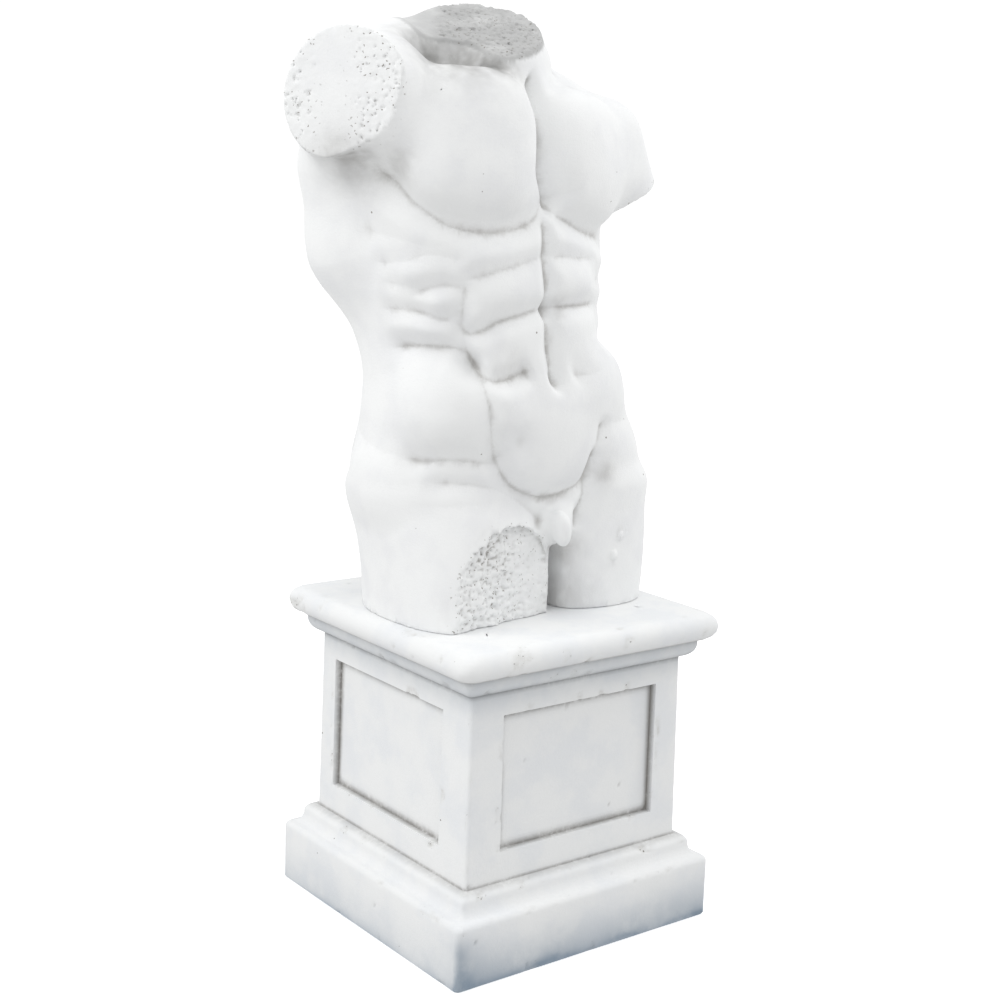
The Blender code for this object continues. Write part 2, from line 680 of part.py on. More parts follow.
def panel_cutter(name, quarter, shift, collection):
    """The block that sinks one panel, lying along the die's slightly sloping face."""
    draft = math.atan2((DIE_BOTTOM_SIDE - DIE_TOP_SIDE) / 2, DIE_HEIGHT)
    low = BASE_HEIGHT + STEP_HEIGHT + PANEL_RISE
    middle = low + PANEL_HEIGHT / 2
    rise = (middle - BASE_HEIGHT - STEP_HEIGHT) / DIE_HEIGHT
    face = (DIE_BOTTOM_SIDE + (DIE_TOP_SIDE - DIE_BOTTOM_SIDE) * rise) / 2
    cutter = slab(name, collection)
    upright = Matrix.Rotation(math.radians(-90), 4, "X")
    size = Matrix.Diagonal((PANEL_WIDTH, PANEL_HEIGHT, 4 * PANEL_DEPTH, 1.0))
    lean = Matrix.Rotation(-draft, 4, "X")
    place = Matrix.Translation((shift, -(face - PANEL_DEPTH), middle))
    turn = Matrix.Rotation(math.radians(90 * quarter), 4, "Z")
    cutter.data.transform(turn @ place @ lean @ upright @ size)
    return cutter


def main():
    """Build both castings."""
    clear_scene()
    parts = new_collection("torso_on_pedestal")
    cutters = new_collection("cutters")
    white = stone("white cast stone", (0.83, 0.84, 0.83), 0.85)
    grey = stone("pale grey cast stone", (0.76, 0.78, 0.79), 0.85)
    build_pedestal(parts, cutters, grey)
    build_torso(parts, cutters, white)


if __name__ == "__main__":
    main()
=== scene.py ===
"""Dresses a cast stone torso on its panelled pedestal: fine carving, breaks, wear, light and camera.

The torso is carved again from the same forms as the solid, on a finer grid, with the rough
breaks, pits and small creases that the solid leaves out. The pedestal is its profile carried
round a square. Metres, +Z up, the figure faces -Y. The figure's own forms are given in
543rds of its height, which are millimetres at this size.
"""

import logging
import math
from concurrent.futures import ThreadPoolExecutor
from dataclasses import dataclass
from enum import Enum
from typing import Any, Callable, Sequence

import bpy
import numpy as np
from mathutils import Matrix, Vector

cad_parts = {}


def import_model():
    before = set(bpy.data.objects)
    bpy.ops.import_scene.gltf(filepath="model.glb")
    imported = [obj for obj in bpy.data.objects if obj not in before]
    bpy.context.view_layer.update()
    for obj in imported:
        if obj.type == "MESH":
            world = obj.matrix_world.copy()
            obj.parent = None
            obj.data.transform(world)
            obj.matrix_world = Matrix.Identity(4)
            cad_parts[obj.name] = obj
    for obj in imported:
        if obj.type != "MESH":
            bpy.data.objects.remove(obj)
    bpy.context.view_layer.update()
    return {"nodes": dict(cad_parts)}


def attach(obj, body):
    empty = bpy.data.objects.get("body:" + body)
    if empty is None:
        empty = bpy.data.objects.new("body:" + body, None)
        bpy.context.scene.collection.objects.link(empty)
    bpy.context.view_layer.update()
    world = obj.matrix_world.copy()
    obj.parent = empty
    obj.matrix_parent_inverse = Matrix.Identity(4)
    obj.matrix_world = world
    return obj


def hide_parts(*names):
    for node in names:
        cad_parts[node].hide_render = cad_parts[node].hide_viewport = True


LOG = logging.getLogger("torso_scene")

Form = Callable[[np.ndarray], np.ndarray]
Triple = tuple[float, float, float]

MILLIMETRE = 0.001
# Points measured at once by each worker.
HANDFUL = 60000


class Side(Enum):
    """The figure's own left and right, as signs along X."""

    LEFT = 1.0
    RIGHT = -1.0


class Face(Enum):
    """The pedestal's faces, as quarter turns from the front."""

    FRONT = 0
    LEFT = 1
    BACK = 2
    RIGHT = 3


# Colour and node helpers.


def linear(colour: str) -> tuple[float, float, float, float]:
    """Turn an sRGB hex colour into linear light.

    Args:
        colour: Six hex digits after a hash sign.

    Returns:
        Red, green, blue and a full alpha.
    """
    channels = [int(colour[i : i + 2], 16) / 255.0 for i in (1, 3, 5)]
    light = [c / 12.92 if c <= 0.04045 else ((c + 0.055) / 1.055) ** 2.4 for c in channels]
    return (light[0], light[1], light[2], 1.0)


def add_node(tree: bpy.types.NodeTree, kind: str, inputs: dict | None = None, **settings: Any) -> Any:
    """Add a node, give it its settings, and link or fill its inputs.

    Args:
        tree: The shader or geometry tree.
        kind: The node's type name.
        inputs: Input name or number to the socket that feeds it, or to its value.
        settings: Attributes of the node itself.

    Returns:
        The node.
    """
    node = tree.nodes.new(kind)
    for name, value in settings.items():
        setattr(node, name, value)
    for key, source in (inputs or {}).items():
        if isinstance(source, bpy.types.NodeSocket):
            tree.links.new(source, node.inputs[key])
        else:
            node.inputs[key].default_value = source
    return node


# Clay: each form says how far points lie outside it, below zero inside.


def turned(
    points: np.ndarray, centre: Sequence[float], turn: float = 0, lean: float = 0, nod: float = 0
) -> np.ndarray:
    """Give the points in a frame at centre.

    Args:
        points: Places, one a row.
        centre: The frame's origin.
        turn: Degrees about Z.
        lean: Degrees about Y, after the turn.
        nod: Degrees about X, after the lean.

    Returns:
        The places in that frame.
    """
    a, b, c = (math.radians(angle) for angle in (turn, lean, nod))
    about_z = np.array([[math.cos(a), -math.sin(a), 0], [math.sin(a), math.cos(a), 0], [0, 0, 1]])
    about_y = np.array([[math.cos(b), 0, math.sin(b)], [0, 1, 0], [-math.sin(b), 0, math.cos(b)]])
    about_x = np.array([[1, 0, 0], [0, math.cos(c), -math.sin(c)], [0, math.sin(c), math.cos(c)]])
    return (points - np.array(centre, float)) @ (about_z @ about_y @ about_x)


def pad(
    points: np.ndarray,
    centre: Sequence[float],
    radii: Sequence[float],
    turn: float = 0,
    lean: float = 0,
    nod: float = 0,
    squareness: float = 2.0,
) -> np.ndarray:
    """Measure to a pad of clay: an ellipsoid, or a boxier one as its squareness rises above 2.

    Args:
        points: Places, one a row.
        centre: The pad's middle.
        radii: Its half sizes.
        turn: Degrees about Z.
        lean: Degrees about Y.
        nod: Degrees about X.
        squareness: 2 for an ellipsoid.

    Returns:
        The distance outside the pad.
    """
    local = turned(points, centre, turn, lean, nod)
    reach = (np.abs(local / np.array(radii, float)) ** squareness).sum(axis=1) ** (1.0 / squareness)
    reach = np.maximum(reach, 1e-3)
    return np.linalg.norm(local, axis=1) * (1.0 - 1.0 / reach) - (reach < 0.01) * min(radii)


def limb(
    points: np.ndarray, start: Sequence[float], end: Sequence[float], start_radius: float, end_radius: float
) -> np.ndarray:
    """Measure to a round bar between two points, tapering from one radius to the other.

    Args:
        points: Places, one a row.
        start: One end of its axis.
        end: The other end.
        start_radius: Radius at the start.
        end_radius: Radius at the end.

    Returns:
        The distance outside the bar.
    """
    first, last = np.array(start, float), np.array(end, float)
    along = last - first
    share = np.clip((points - first) @ along / (along @ along), 0.0, 1.0)
    nearest = first + share[:, None] * along
    return np.linalg.norm(points - nearest, axis=1) - (start_radius + share * (end_radius - start_radius))


def before(points: np.ndarray, place: Sequence[float], way: Sequence[float]) -> np.ndarray:
    """Measure how far points lie short of a plane, below zero beyond it.

    Args:
        points: Places, one a row.
        place: A point on the plane.
        way: The direction that leads beyond it.

    Returns:
        The distance to the plane.
    """
    return (np.array(place, float) - points) @ np.array(way, float)


def joined(first: np.ndarray, second: np.ndarray, blend: float) -> np.ndarray:
    """Run two forms together, with a fillet of about this size where they meet.

    Args:
        first: Distances to one form.
        second: Distances to the other.
        blend: The fillet's size.

    Returns:
        Distances to both.
    """
    overlap = np.maximum(blend - np.abs(first - second), 0.0) / blend
    return np.minimum(first, second) - overlap * overlap * blend / 4.0


def cut_by(body: np.ndarray, tool: np.ndarray, blend: float) -> np.ndarray:
    """Take the tool away from the body, with the edge eased by about this size."""
    return -joined(-body, tool, blend)


def eased(level: np.ndarray, heights: np.ndarray, values: np.ndarray) -> np.ndarray:
    """Read values between heights on a smooth curve, a cubic with the neighbours' slopes.

    Args:
        level: Heights to read at.
        heights: Heights that have a value.
        values: The values there.

    Returns:
        One value for each level.
    """
    slopes = np.gradient(values, heights)
    below = np.clip(np.searchsorted(heights, level, side="right") - 1, 0, len(heights) - 2)
    gap = heights[below + 1] - heights[below]
    t = (level - heights[below]) / gap
    rise, fall = slopes[below] * gap, slopes[below + 1] * gap
    start_part = (2 * t**3 - 3 * t**2 + 1) * values[below] + (t**3 - 2 * t**2 + t) * rise
    return start_part + (3 * t**2 - 2 * t**3) * values[below + 1] + (t**3 - t**2) * fall


def smooth_step(value: np.ndarray, low: float, high: float) -> np.ndarray:
    """Rise smoothly from 0 at low to 1 at high."""
    t = np.clip((value - low) / (high - low), 0.0, 1.0)
    return t * t * (3.0 - 2.0 * t)


# Stone grain: fixed patterns in space, the same on every run.


def scattered(cells: np.ndarray, seed: int) -> np.ndarray:
    """Give each whole-number cell its own fixed number between 0 and 1.

    Args:
        cells: Cell coordinates, one a row.
        seed: Picks one of many patterns.

    Returns:
        One number a row.
    """
    mixed = cells[:, 0] * 73856093 ^ cells[:, 1] * 19349663 ^ cells[:, 2] * 83492791 ^ seed * 2654435761
    mixed = (mixed ^ (mixed >> 13)) * 1274126177 & 0x7FFFFFFF
    mixed = (mixed ^ (mixed >> 15)) * 668265263 & 0x7FFFFFFF
    return mixed / float(0x7FFFFFFF)


def mottle(points: np.ndarray, size: float, seed: int) -> np.ndarray:
    """Give a soft lumpy pattern between -1 and 1.

    Args:
        points: Places, one a row.
        size: Size of the lumps.
        seed: Picks one of many patterns.

    Returns:
        One value a row.
    """
    scaled = points / size
    cell = np.floor(scaled).astype(np.int64)
    part = scaled - cell
    part = part * part * (3.0 - 2.0 * part)
    total = np.zeros(len(points))
    for corner in np.ndindex(2, 2, 2):
        weight = np.prod(np.where(np.array(corner) == 1, part, 1.0 - part), axis=1)
        total += weight * scattered(cell + np.array(corner), seed)
    return 2.0 * total - 1.0


def pits(points: np.ndarray, spacing: float, largest: float, chance: float, seed: int) -> np.ndarray:
    """Measure to small round bubbles in the cast, at most one in each cell of space.

    Args:
        points: Places, one a row.
        spacing: Size of the cells.
        largest: Radius of the largest bubble, under half the spacing.
        chance: Share of cells that hold one.
        seed: Picks one of many patterns, and turns its cells out of line with the others.

    Returns:
        The distance outside the bubbles, large where there is none.
    """
    points = turned(points, (0, 0, 0), 37.0 * seed, 23.0 * seed, 51.0 * seed)
    cell = np.floor(points / spacing).astype(np.int64)
    room = spacing - 2.0 * largest
    centre = [cell[:, i] * spacing + largest + room * scattered(cell, seed + i) for i in range(3)]
    radius = largest * (0.45 + 0.55 * scattered(cell, seed + 3))
    gap = np.linalg.norm(points - np.stack(centre, axis=1), axis=1) - radius
    return np.where(scattered(cell, seed + 4) < chance, gap, spacing)


# The skin of a form, and its finish as a mesh.


def settle_corners(value: np.ndarray, step: float) -> None:
    """Turn over one corner of each grid square whose opposite corners would pinch the skin.

    Args:
        value: The form's value at each grid point, changed in place.
        step: The grid's step.
    """
    for _ in range(8):
        found = 0
        for first, second in ((0, 1), (0, 2), (1, 2)):
            spread = np.eye(3, dtype=int)[[first, second]]
            low = [np.zeros(3, int), spread[0], spread[1], spread[0] + spread[1]]
            size = np.array(value.shape) - spread.sum(axis=0)
            inside = [value[tuple(slice(a, a + n) for a, n in zip(at, size))] < 0.0 for at in low]
            pinched = (inside[0] == inside[3]) & (inside[1] == inside[2]) & (inside[0] != inside[1])
            for cell in np.argwhere(pinched):
                places = [tuple(cell + at) for at in low]
                weakest = min(places, key=lambda place: abs(value[place]))
                value[weakest] = math.copysign(0.1 * step, -value[weakest])
                found += 1
        if not found:
            return


def measured(form: Form, points: np.ndarray) -> np.ndarray:
    """Measure a form at many points, a handful at a time on all processors."""
    with ThreadPoolExecutor() as workers:
        return np.concatenate(list(workers.map(form, np.array_split(points, len(points) // HANDFUL + 1))))


def sampled(form: Form, low: Sequence[float], high: Sequence[float], step: float) -> np.ndarray:
    """Sample a form on a grid, closely near its skin and by its sign elsewhere.

    Args:
        form: The form.
        low: The grid's lowest corner.
        high: Its highest corner, reached or passed by less than four steps.
        step: The grid's step.

    Returns:
        The values, outside all round the border.
    """
    stride = 4
    blocks = np.ceil((np.array(high, float) - low) / (step * stride)).astype(int)
    axes = [low[i] + stride * step * np.arange(blocks[i] + 1) for i in range(3)]
    coarse_points = np.stack(np.meshgrid(*axes, indexing="ij"), axis=-1)
    coarse = measured(form, coarse_points.reshape(-1, 3)).reshape(coarse_points.shape[:3])
    # A block's far corner lies further from its middle than its side is long.
    near = np.abs(coarse) < 1.4 * stride * step
    block = np.zeros(tuple(blocks), bool)
    for corner in np.ndindex(2, 2, 2):
        block |= near[tuple(slice(c, c + n) for c, n in zip(corner, blocks))]
    value = np.full(tuple(blocks * stride + 1), step)
    sign = np.where(coarse[:-1, :-1, :-1] < 0.0, -step, step)
    value[:-1, :-1, :-1] = np.kron(sign, np.ones((stride,) * 3))
    close = np.zeros(value.shape, bool)
    close[:-1, :-1, :-1] = np.kron(block, np.ones((stride,) * 3, bool))
    for axis in range(3):
        ahead = [slice(None)] * 3
        behind = [slice(None)] * 3
        ahead[axis], behind[axis] = slice(1, None), slice(0, -1)
        close[tuple(ahead)] |= close[tuple(behind)].copy()
    value[close] = measured(form, np.array(low, float) + np.argwhere(close) * step)
    outer = np.ones(value.shape, bool)
    outer[1:-1, 1:-1, 1:-1] = False
    value[outer] = step
    settle_corners(value, step)
    return value


def skin_of(
    form: Form, low: Sequence[float], high: Sequence[float], step: float
) -> tuple[np.ndarray, np.ndarray]:
    """Find the skin of a form between two corners: one point in each cell, one face about each edge.

    Args:
        form: The form.
        low: Lowest corner searched.
        high: Highest corner searched.
        step: The grid's step.

    Returns:
        Its points and its four-sided faces.
    """
    value = sampled(form, low, high, step)
    inside = value < 0.0
    size = value.shape
    stride = np.array((size[1] * size[2], size[2], 1))
    cells, places, quads = [], [], []
    for axis in range(3):
        near: list[slice] = [slice(None)] * 3
        far: list[slice] = [slice(None)] * 3
        near[axis], far[axis] = slice(0, -1), slice(1, None)
        edge = np.argwhere(inside[tuple(near)] != inside[tuple(far)])
        ahead = np.eye(3, dtype=int)[axis]
        here, there = value[tuple(edge.T)], value[tuple((edge + ahead).T)]
        place = edge + (here / (here - there))[:, None] * ahead
        first, second = np.eye(3, dtype=int)[(axis + 1) % 3], np.eye(3, dtype=int)[(axis + 2) % 3]
        corners = [edge + a * first + b * second for a, b in ((-1, -1), (0, -1), (0, 0), (-1, 0))]
        around = np.stack([corner @ stride for corner in corners], axis=1)
        outward = inside[tuple(edge.T)]
        around[~outward] = around[~outward][:, ::-1]
        cells.append(around.ravel())
        places.append(np.repeat(place, 4, axis=0))
        quads.append(len(around))
    _, index = np.unique(np.concatenate(cells), return_inverse=True)
    place = np.concatenate(places)
    count = np.bincount(index)
    points = np.stack([np.bincount(index, weights=place[:, i]) / count for i in range(3)], axis=1)
    return settled(np.array(low, float) + points * step, form, step), index.reshape(-1, 4)


def settled(points: np.ndarray, form: Form, step: float) -> np.ndarray:
    """Move points along the form's slope onto its skin, at most half a step each time.

    Args:
        points: Places near the skin.
        form: The form.
        step: The grid's step.

    Returns:
        The places moved.
    """
    probe = 0.02 * step
    for _ in range(2):
        value = measured(form, points)
        rises = [measured(form, points + probe * axis) - value for axis in np.eye(3)]
        slope = np.stack(rises, axis=1) / probe
        shift = value / np.maximum((slope * slope).sum(axis=1), 0.05)
        shift = np.clip(shift, -0.5 * step, 0.5 * step)
        points = points - shift[:, None] * slope
    return points


def points_of(mesh: bpy.types.Mesh) -> np.ndarray:
    """Read a mesh's points, one a row."""
    flat = np.empty(len(mesh.vertices) * 3)
    mesh.vertices.foreach_get("co", flat)
    return flat.reshape(-1, 3)


def normals_of(mesh: bpy.types.Mesh) -> np.ndarray:
    """Read the outward direction at each of a mesh's points."""
    flat = np.empty(len(mesh.vertices) * 3)
    mesh.vertices.foreach_get("normal", flat)
    return flat.reshape(-1, 3)


def spread(mesh: bpy.types.Mesh, values: np.ndarray, rounds: int) -> np.ndarray:
    """Smooth values over a mesh, each point's with its neighbours'.

    Args:
        mesh: The mesh.
        values: One row for each of its points.
        rounds: How many times they are smoothed, which sets how far it reaches.

    Returns:
        The smoothed values.
    """
    edges = np.empty(len(mesh.edges) * 2, np.int64)
    mesh.edges.foreach_get("vertices", edges)
    start, end = edges.reshape(-1, 2).T
    many = len(mesh.vertices)
    count = np.bincount(np.concatenate([start, end]), minlength=many)
    columns = []
    for column in values.reshape(many, -1).T:
        for _ in range(rounds):
            total = np.bincount(start, column[end], many) + np.bincount(end, column[start], many)
            column = 0.5 * column + 0.5 * total / count
        columns.append(column)
    return np.stack(columns, axis=1).reshape(values.shape)


def hollowness(mesh: bpy.types.Mesh, rounds: int) -> np.ndarray:
    """Measure how far each point lies below its neighbourhood, in metres.

    Args:
        mesh: The mesh.
        rounds: How far the neighbourhood reaches.

    Returns:
        Above zero in a hollow, below zero on a ridge.
    """
    points = points_of(mesh)
    return ((spread(mesh, points, rounds) - points) * normals_of(mesh)).sum(axis=1)


def keep_attribute(mesh: bpy.types.Mesh, name: str, values: np.ndarray) -> None:
    """Store one number at each of a mesh's points, for its material to read."""
    attribute = mesh.attributes.new(name, "FLOAT", "POINT")
    attribute.data.foreach_set("value", values.astype(np.float32))


def plain_mesh(piece: bpy.types.Object, name: str) -> bpy.types.Mesh:
    """Apply an object's modifiers and hand back the result as a plain mesh.

    Args:
        piece: The object, whose modifiers are then removed.
        name: Name of the new mesh.

    Returns:
        The mesh, which the object now holds.
    """
    graph = bpy.context.evaluated_depsgraph_get()
    mesh = bpy.data.meshes.new_from_object(piece.evaluated_get(graph))
    mesh.name = name
    piece.modifiers.clear()
    piece.data = mesh
    return mesh


# Finishes.


@dataclass(frozen=True)
class CastStone:
    """Reconstituted stone: white cement and marble sand, dry cast in a mould and left outdoors.

    It gives the eye a matt, slightly chalky white with a fine sandy grain, small air holes,
    rougher and greyer broken faces, and brown-grey dirt lying in every hollow, with painted shade in the
    hollows and holes.
    """

    name: str
    body: str
    shade: str
    broken: str
    # The dirt colour is laid both as dirt and as painted shade in hollows and holes; the damp colour both
    # greys weathered stone and paints blue-grey shade on the pedestal.
    dirt_and_shade: str
    damp_and_shade: str
    dirt_and_shade_strength: float
    # Fine marble sand, under a millimetre: drawn at 1.4 mm, the finest that shows at this size.
    grain_size: float = 1.4 * MILLIMETRE
    # Cloudy patches left by uneven drying, some tens of millimetres across.
    cloud_size: float = 45 * MILLIMETRE
    # Air holes of about 2 mm, roughly 12 mm apart before most of them are left out.
    hole_spacing: float = 12 * MILLIMETRE
    hole_radius: float = 1.1 * MILLIMETRE
    # Nicks where the sand tore out of a broken face, every few millimetres.
    nick_spacing: float = 4.2 * MILLIMETRE
    nick_radius: float = 1.0 * MILLIMETRE

    def material(self) -> bpy.types.Material:
        """Build the shader.

        Returns:
            The material.
        """
        material = bpy.data.materials.new(self.name)
        material.use_nodes = True
        tree = material.node_tree
        shader = tree.nodes["Principled BSDF"]
        place = add_node(tree, "ShaderNodeTexCoord").outputs["Object"]
        cloud = self._noise(tree, place, 1.0 / self.cloud_size, 5.0, 0.6, "Fac")
        fleck = self._noise(tree, place, 0.25 / self.grain_size, 4.0, 0.7, "Fac")
        shade = self._ramp(tree, cloud, 0.40, 0.66)
        clouded = self._mixed(tree, shade, linear(self.body), linear(self.shade))
        broken = add_node(tree, "ShaderNodeAttribute", attribute_name="broken").outputs["Fac"]
        broken_part = self._product(tree, broken, self._ramp(tree, fleck, 0.25, 0.7))
        worn = self._mixed(tree, broken_part, clouded, linear(self.broken))
        # Dirt and painted shade from the hollow attribute, then greying and painted shade from the damp
        # attribute.
        damp_and_shade = add_node(tree, "ShaderNodeAttribute", attribute_name="damp_and_shade").outputs["Fac"]
        damp_and_shade = self._product(tree, damp_and_shade, self._ramp(tree, cloud, -0.10, 0.60))
        dirty_and_shaded = self._mixed(tree, self._dirt_and_shade(tree, cloud, fleck), worn, linear(self.dirt_and_shade))
        dirty_and_shaded = self._mixed(tree, damp_and_shade, dirty_and_shaded, linear(self.damp_and_shade))
        holes = self._holes(tree, place, self.hole_spacing, self.hole_radius, 0.82)
        wander = self._noise(tree, place, 0.5 / self.grain_size, 2.0, 0.5, "Color")
        bent = {0: wander, 1: (self.nick_spacing,) * 3, 2: place}
        bent = add_node(tree, "ShaderNodeVectorMath", bent, operation="MULTIPLY_ADD").outputs[0]
        nicks = self._holes(tree, bent, self.nick_spacing, self.nick_radius, 0.45)
        nicks = self._product(tree, nicks, broken)
        holes = add_node(tree, "ShaderNodeMath", {0: holes, 1: nicks}, operation="MAXIMUM").outputs[0]
        # The air holes and nicks are painted in the dirt colour: dirt and painted shade inside them.
        pitted = self._mixed(tree, self._product(tree, holes, 0.8), dirty_and_shaded, linear(self.dirt_and_shade))
        tree.links.new(pitted, shader.inputs["Base Color"])
        shader.inputs["Roughness"].default_value = 0.88
        shader.inputs["Specular IOR Level"].default_value = 0.3
        tree.links.new(self._relief(tree, place, fleck, holes), shader.inputs["Normal"])
        return material

    def _noise(
        self, tree: bpy.types.NodeTree, place: Any, scale: float, detail: float, rough: float, output: str
    ) -> Any:
        """Give a cloudy pattern: as one number by its Fac output, or as three by its Color."""
        inputs = {"Vector": place, "Scale": scale, "Detail": detail, "Roughness": rough}
        return add_node(tree, "ShaderNodeTexNoise", inputs).outputs[output]

    def _mixed(self, tree: bpy.types.NodeTree, share: Any, first: Any, second: Any) -> Any:
        """Mix two colours by a share from 0 to 1."""
        node = add_node(tree, "ShaderNodeMix", {0: share, 6: first, 7: second}, data_type="RGBA")
        return node.outputs[2]

    def _product(self, tree: bpy.types.NodeTree, first: Any, second: Any) -> Any:
        """Multiply two numbers."""
        return add_node(tree, "ShaderNodeMath", {0: first, 1: second}, operation="MULTIPLY").outputs[0]

    def _ramp(self, tree: bpy.types.NodeTree, value: Any, low: float, high: float) -> Any:
        """Rise smoothly from 0 where the value is low to 1 where it is high."""
        ends = {"Value": value, "From Min": low, "From Max": high}
        return add_node(tree, "ShaderNodeMapRange", ends, interpolation_type="SMOOTHSTEP").outputs["Result"]

    def _dirt_and_shade(self, tree: bpy.types.NodeTree, cloud: Any, fleck: Any) -> Any:
        """Lay dirt and painted shade in the hollows, in patches, thinner where the grain stands up."""
        hollow = add_node(tree, "ShaderNodeAttribute", attribute_name="hollow").outputs["Fac"]
        patch = add_node(tree, "ShaderNodeMath", {0: cloud, 1: fleck}, operation="ADD").outputs[0]
        patch = self._ramp(tree, patch, 0.35, 1.10)
        return self._product(tree, self._product(tree, hollow, patch), self.dirt_and_shade_strength)

    def _holes(self, tree: bpy.types.NodeTree, place: Any, spacing: float, radius: float, bare: float) -> Any:
        """Mark small holes: discs round the cells' points, left out on a bare share of the cells."""
        cells = add_node(tree, "ShaderNodeTexVoronoi", {"Vector": place, "Scale": 1.0 / spacing})
        disc = self._ramp(tree, cells.outputs["Distance"], radius / spacing, 0.6 * radius / spacing)
        picked = self._ramp(tree, cells.outputs["Color"], bare, bare + 0.02)
        return self._product(tree, disc, picked)

    def _relief(self, tree: bpy.types.NodeTree, place: Any, fleck: Any, holes: Any) -> Any:
        """Roughen the surface: sandy grain everywhere, and the air holes sunk."""
        sand = self._noise(tree, place, 0.5 / self.grain_size, 6.0, 0.75, "Fac")
        height = add_node(tree, "ShaderNodeMath", {0: sand, 1: holes}, operation="SUBTRACT").outputs[0]
        height = add_node(tree, "ShaderNodeMath", {0: height, 1: fleck}, operation="ADD").outputs[0]
        bump = {"Height": height, "Strength": 0.35, "Distance": 0.6 * MILLIMETRE}
        return add_node(tree, "ShaderNodeBump", bump).outputs["Normal"]


# The torso was cast whiter than its pedestal, and cleaned oftener.
TORSO_STONE = CastStone(
    name="white_cast_stone",
    body="#F1F2F2",
    shade="#ECEDEE",
    broken="#EEEFEF",
    dirt_and_shade="#7D776E",
    damp_and_shade="#8A8A89",
    dirt_and_shade_strength=0.56,
)
# On the pedestal the damp colour is a blue-grey painted shade, and its dirt colour also paints the shadow
# lines.
PEDESTAL_STONE = CastStone(
    name="pale_grey_cast_stone",
    body="#EDEEEE",
    shade="#E7E9EB",
    broken="#DCDCDA",
    dirt_and_shade="#625C53",
    damp_and_shade="#8796A5",
    dirt_and_shade_strength=0.80,
)


# The torso.


@dataclass(frozen=True)
class BrokenFace:
    """A face where a part was broken off: how rough it is, and the share of it that is pitted."""

    rough: float
    pitted: float

    def tool(self, points: np.ndarray) -> np.ndarray:
        """Measure to the space that is empty beyond the face."""
        raise NotImplementedError

    def worn(self, points: np.ndarray) -> np.ndarray:
        """Say how far the face is worn smooth here, from 0 to 1."""
        return np.zeros(len(points))


@dataclass(frozen=True)
class Break(BrokenFace):
    """A flat break, with a block of empty space beyond it."""

    place: Triple
    way: Triple
    reach: Triple
    # A band worn bare of pits: how far across the face its middle is, and its half width.
    bare: tuple[float, float] = (0.0, 0.001)

    def tool(self, points: np.ndarray) -> np.ndarray:
        """Measure to the block.

        Args:
            points: Places, one a row.

        Returns:
            The distance outside it.
        """
        turn = np.array(Vector(self.way).to_track_quat("-Z", "Y").to_matrix())
        local = (points - np.array(self.place, float)) @ turn
        local[:, 2] += self.reach[2] / 2
        return (np.abs(local) - np.array(self.reach, float) / 2).max(axis=1)

    def worn(self, points: np.ndarray) -> np.ndarray:
        """Say how far the face is worn smooth here, most along the middle of its bare band."""
        across = np.cross((0.0, 0.0, 1.0), self.way)
        away = (points - np.array(self.place, float)) @ (across / np.linalg.norm(across))
        return np.exp(-(((away - self.bare[0]) / self.bare[1]) ** 2))


@dataclass(frozen=True)
class SplitThigh(BrokenFace):
    """The upright split that took the front of the right thigh, up to an arched edge."""

    place: Triple = (-52, -73, 0)
    turn: float = 9.8
    half_width: float = 63
    height: float = 89
    squareness: float = 2.4

    def tool(self, points: np.ndarray) -> np.ndarray:
        """Measure to the arched block that is missing.

        Args:
            points: Places, one a row.

        Returns:
            The distance outside it.
        """
        local = turned(points, self.place, self.turn)
        across = np.abs(local[:, 0] / self.half_width) ** self.squareness
        up = np.abs(local[:, 2] / self.height) ** self.squareness
        reach = np.maximum((across + up) ** (1.0 / self.squareness), 1e-3)
        arch = np.hypot(local[:, 0], local[:, 2]) * (1.0 - 1.0 / reach)
        return np.maximum(np.maximum(arch, local[:, 1]), -local[:, 1] - self.height)

    def worn(self, points: np.ndarray) -> np.ndarray:
        """Say how far the face is worn smooth here: towards the other thigh."""
        return 0.5 * smooth_step(turned(points, self.place, self.turn)[:, 0], 0.0, 0.5 * self.half_width)


@dataclass(frozen=True)
class BrokenNeck(BrokenFace):
    """The tilted face where the neck was broken off."""

    centre: Triple = (-48, -21, 580)
    radii: Triple = (78, 92, 60)
    lean: float = -10
    nod: float = 22
    squareness: float = 8.0

    def tool(self, points: np.ndarray) -> np.ndarray:
        """Measure to the block that is missing above the break."""
        return pad(points, self.centre, self.radii, 0, self.lean, self.nod, self.squareness)

    def worn(self, points: np.ndarray) -> np.ndarray:
        """Say how far the face is worn smooth here: on the side of the raised arm."""
        return 1.0 - smooth_step(0.79 * points[:, 0] - 0.61 * points[:, 1], -82.0, -68.0)


# The trunk and the thighs are lofts of rounded sections. Each section gives: height,
# middle across, middle fore and aft, half width, depth in front, depth behind, and the
# turn towards the figure's left.
TRUNK_SECTIONS = (
    (60, -3, 4, 118, 56, 70, -2),
    (100, -3, 2, 147, 76, 96, -2),
    (140, -8, 0, 147, 82, 88, -1),
    (180, -12, 0, 137, 86, 80, 0),
    (215, -20, 0, 127, 86, 76, 1),
    (250, -32, 0, 119, 84, 76, 3),
    (300, -39, 0, 124, 87, 82, 6),
    (350, -44, 0, 129, 88, 86, 7),
    (400, -46, 2, 128, 84, 86, 7),
    (450, -42, 6, 112, 72, 76, 6),
    (490, -38, 8, 64, 52, 58, 5),
)
LEFT_THIGH_SECTIONS = (
    (-40, 77, 2, 62, 76, 84, 0),
    (60, 75, 2, 71, 78, 92, 0),
    (108, 70, 0, 76, 74, 94, 0),
)
RIGHT_THIGH_SECTIONS = (
    (-40, -61, -14, 73, 90, 90, 0),
    (60, -63, -8, 78, 84, 96, 0),
    (112, -70, 0, 77, 72, 94, 0),
)

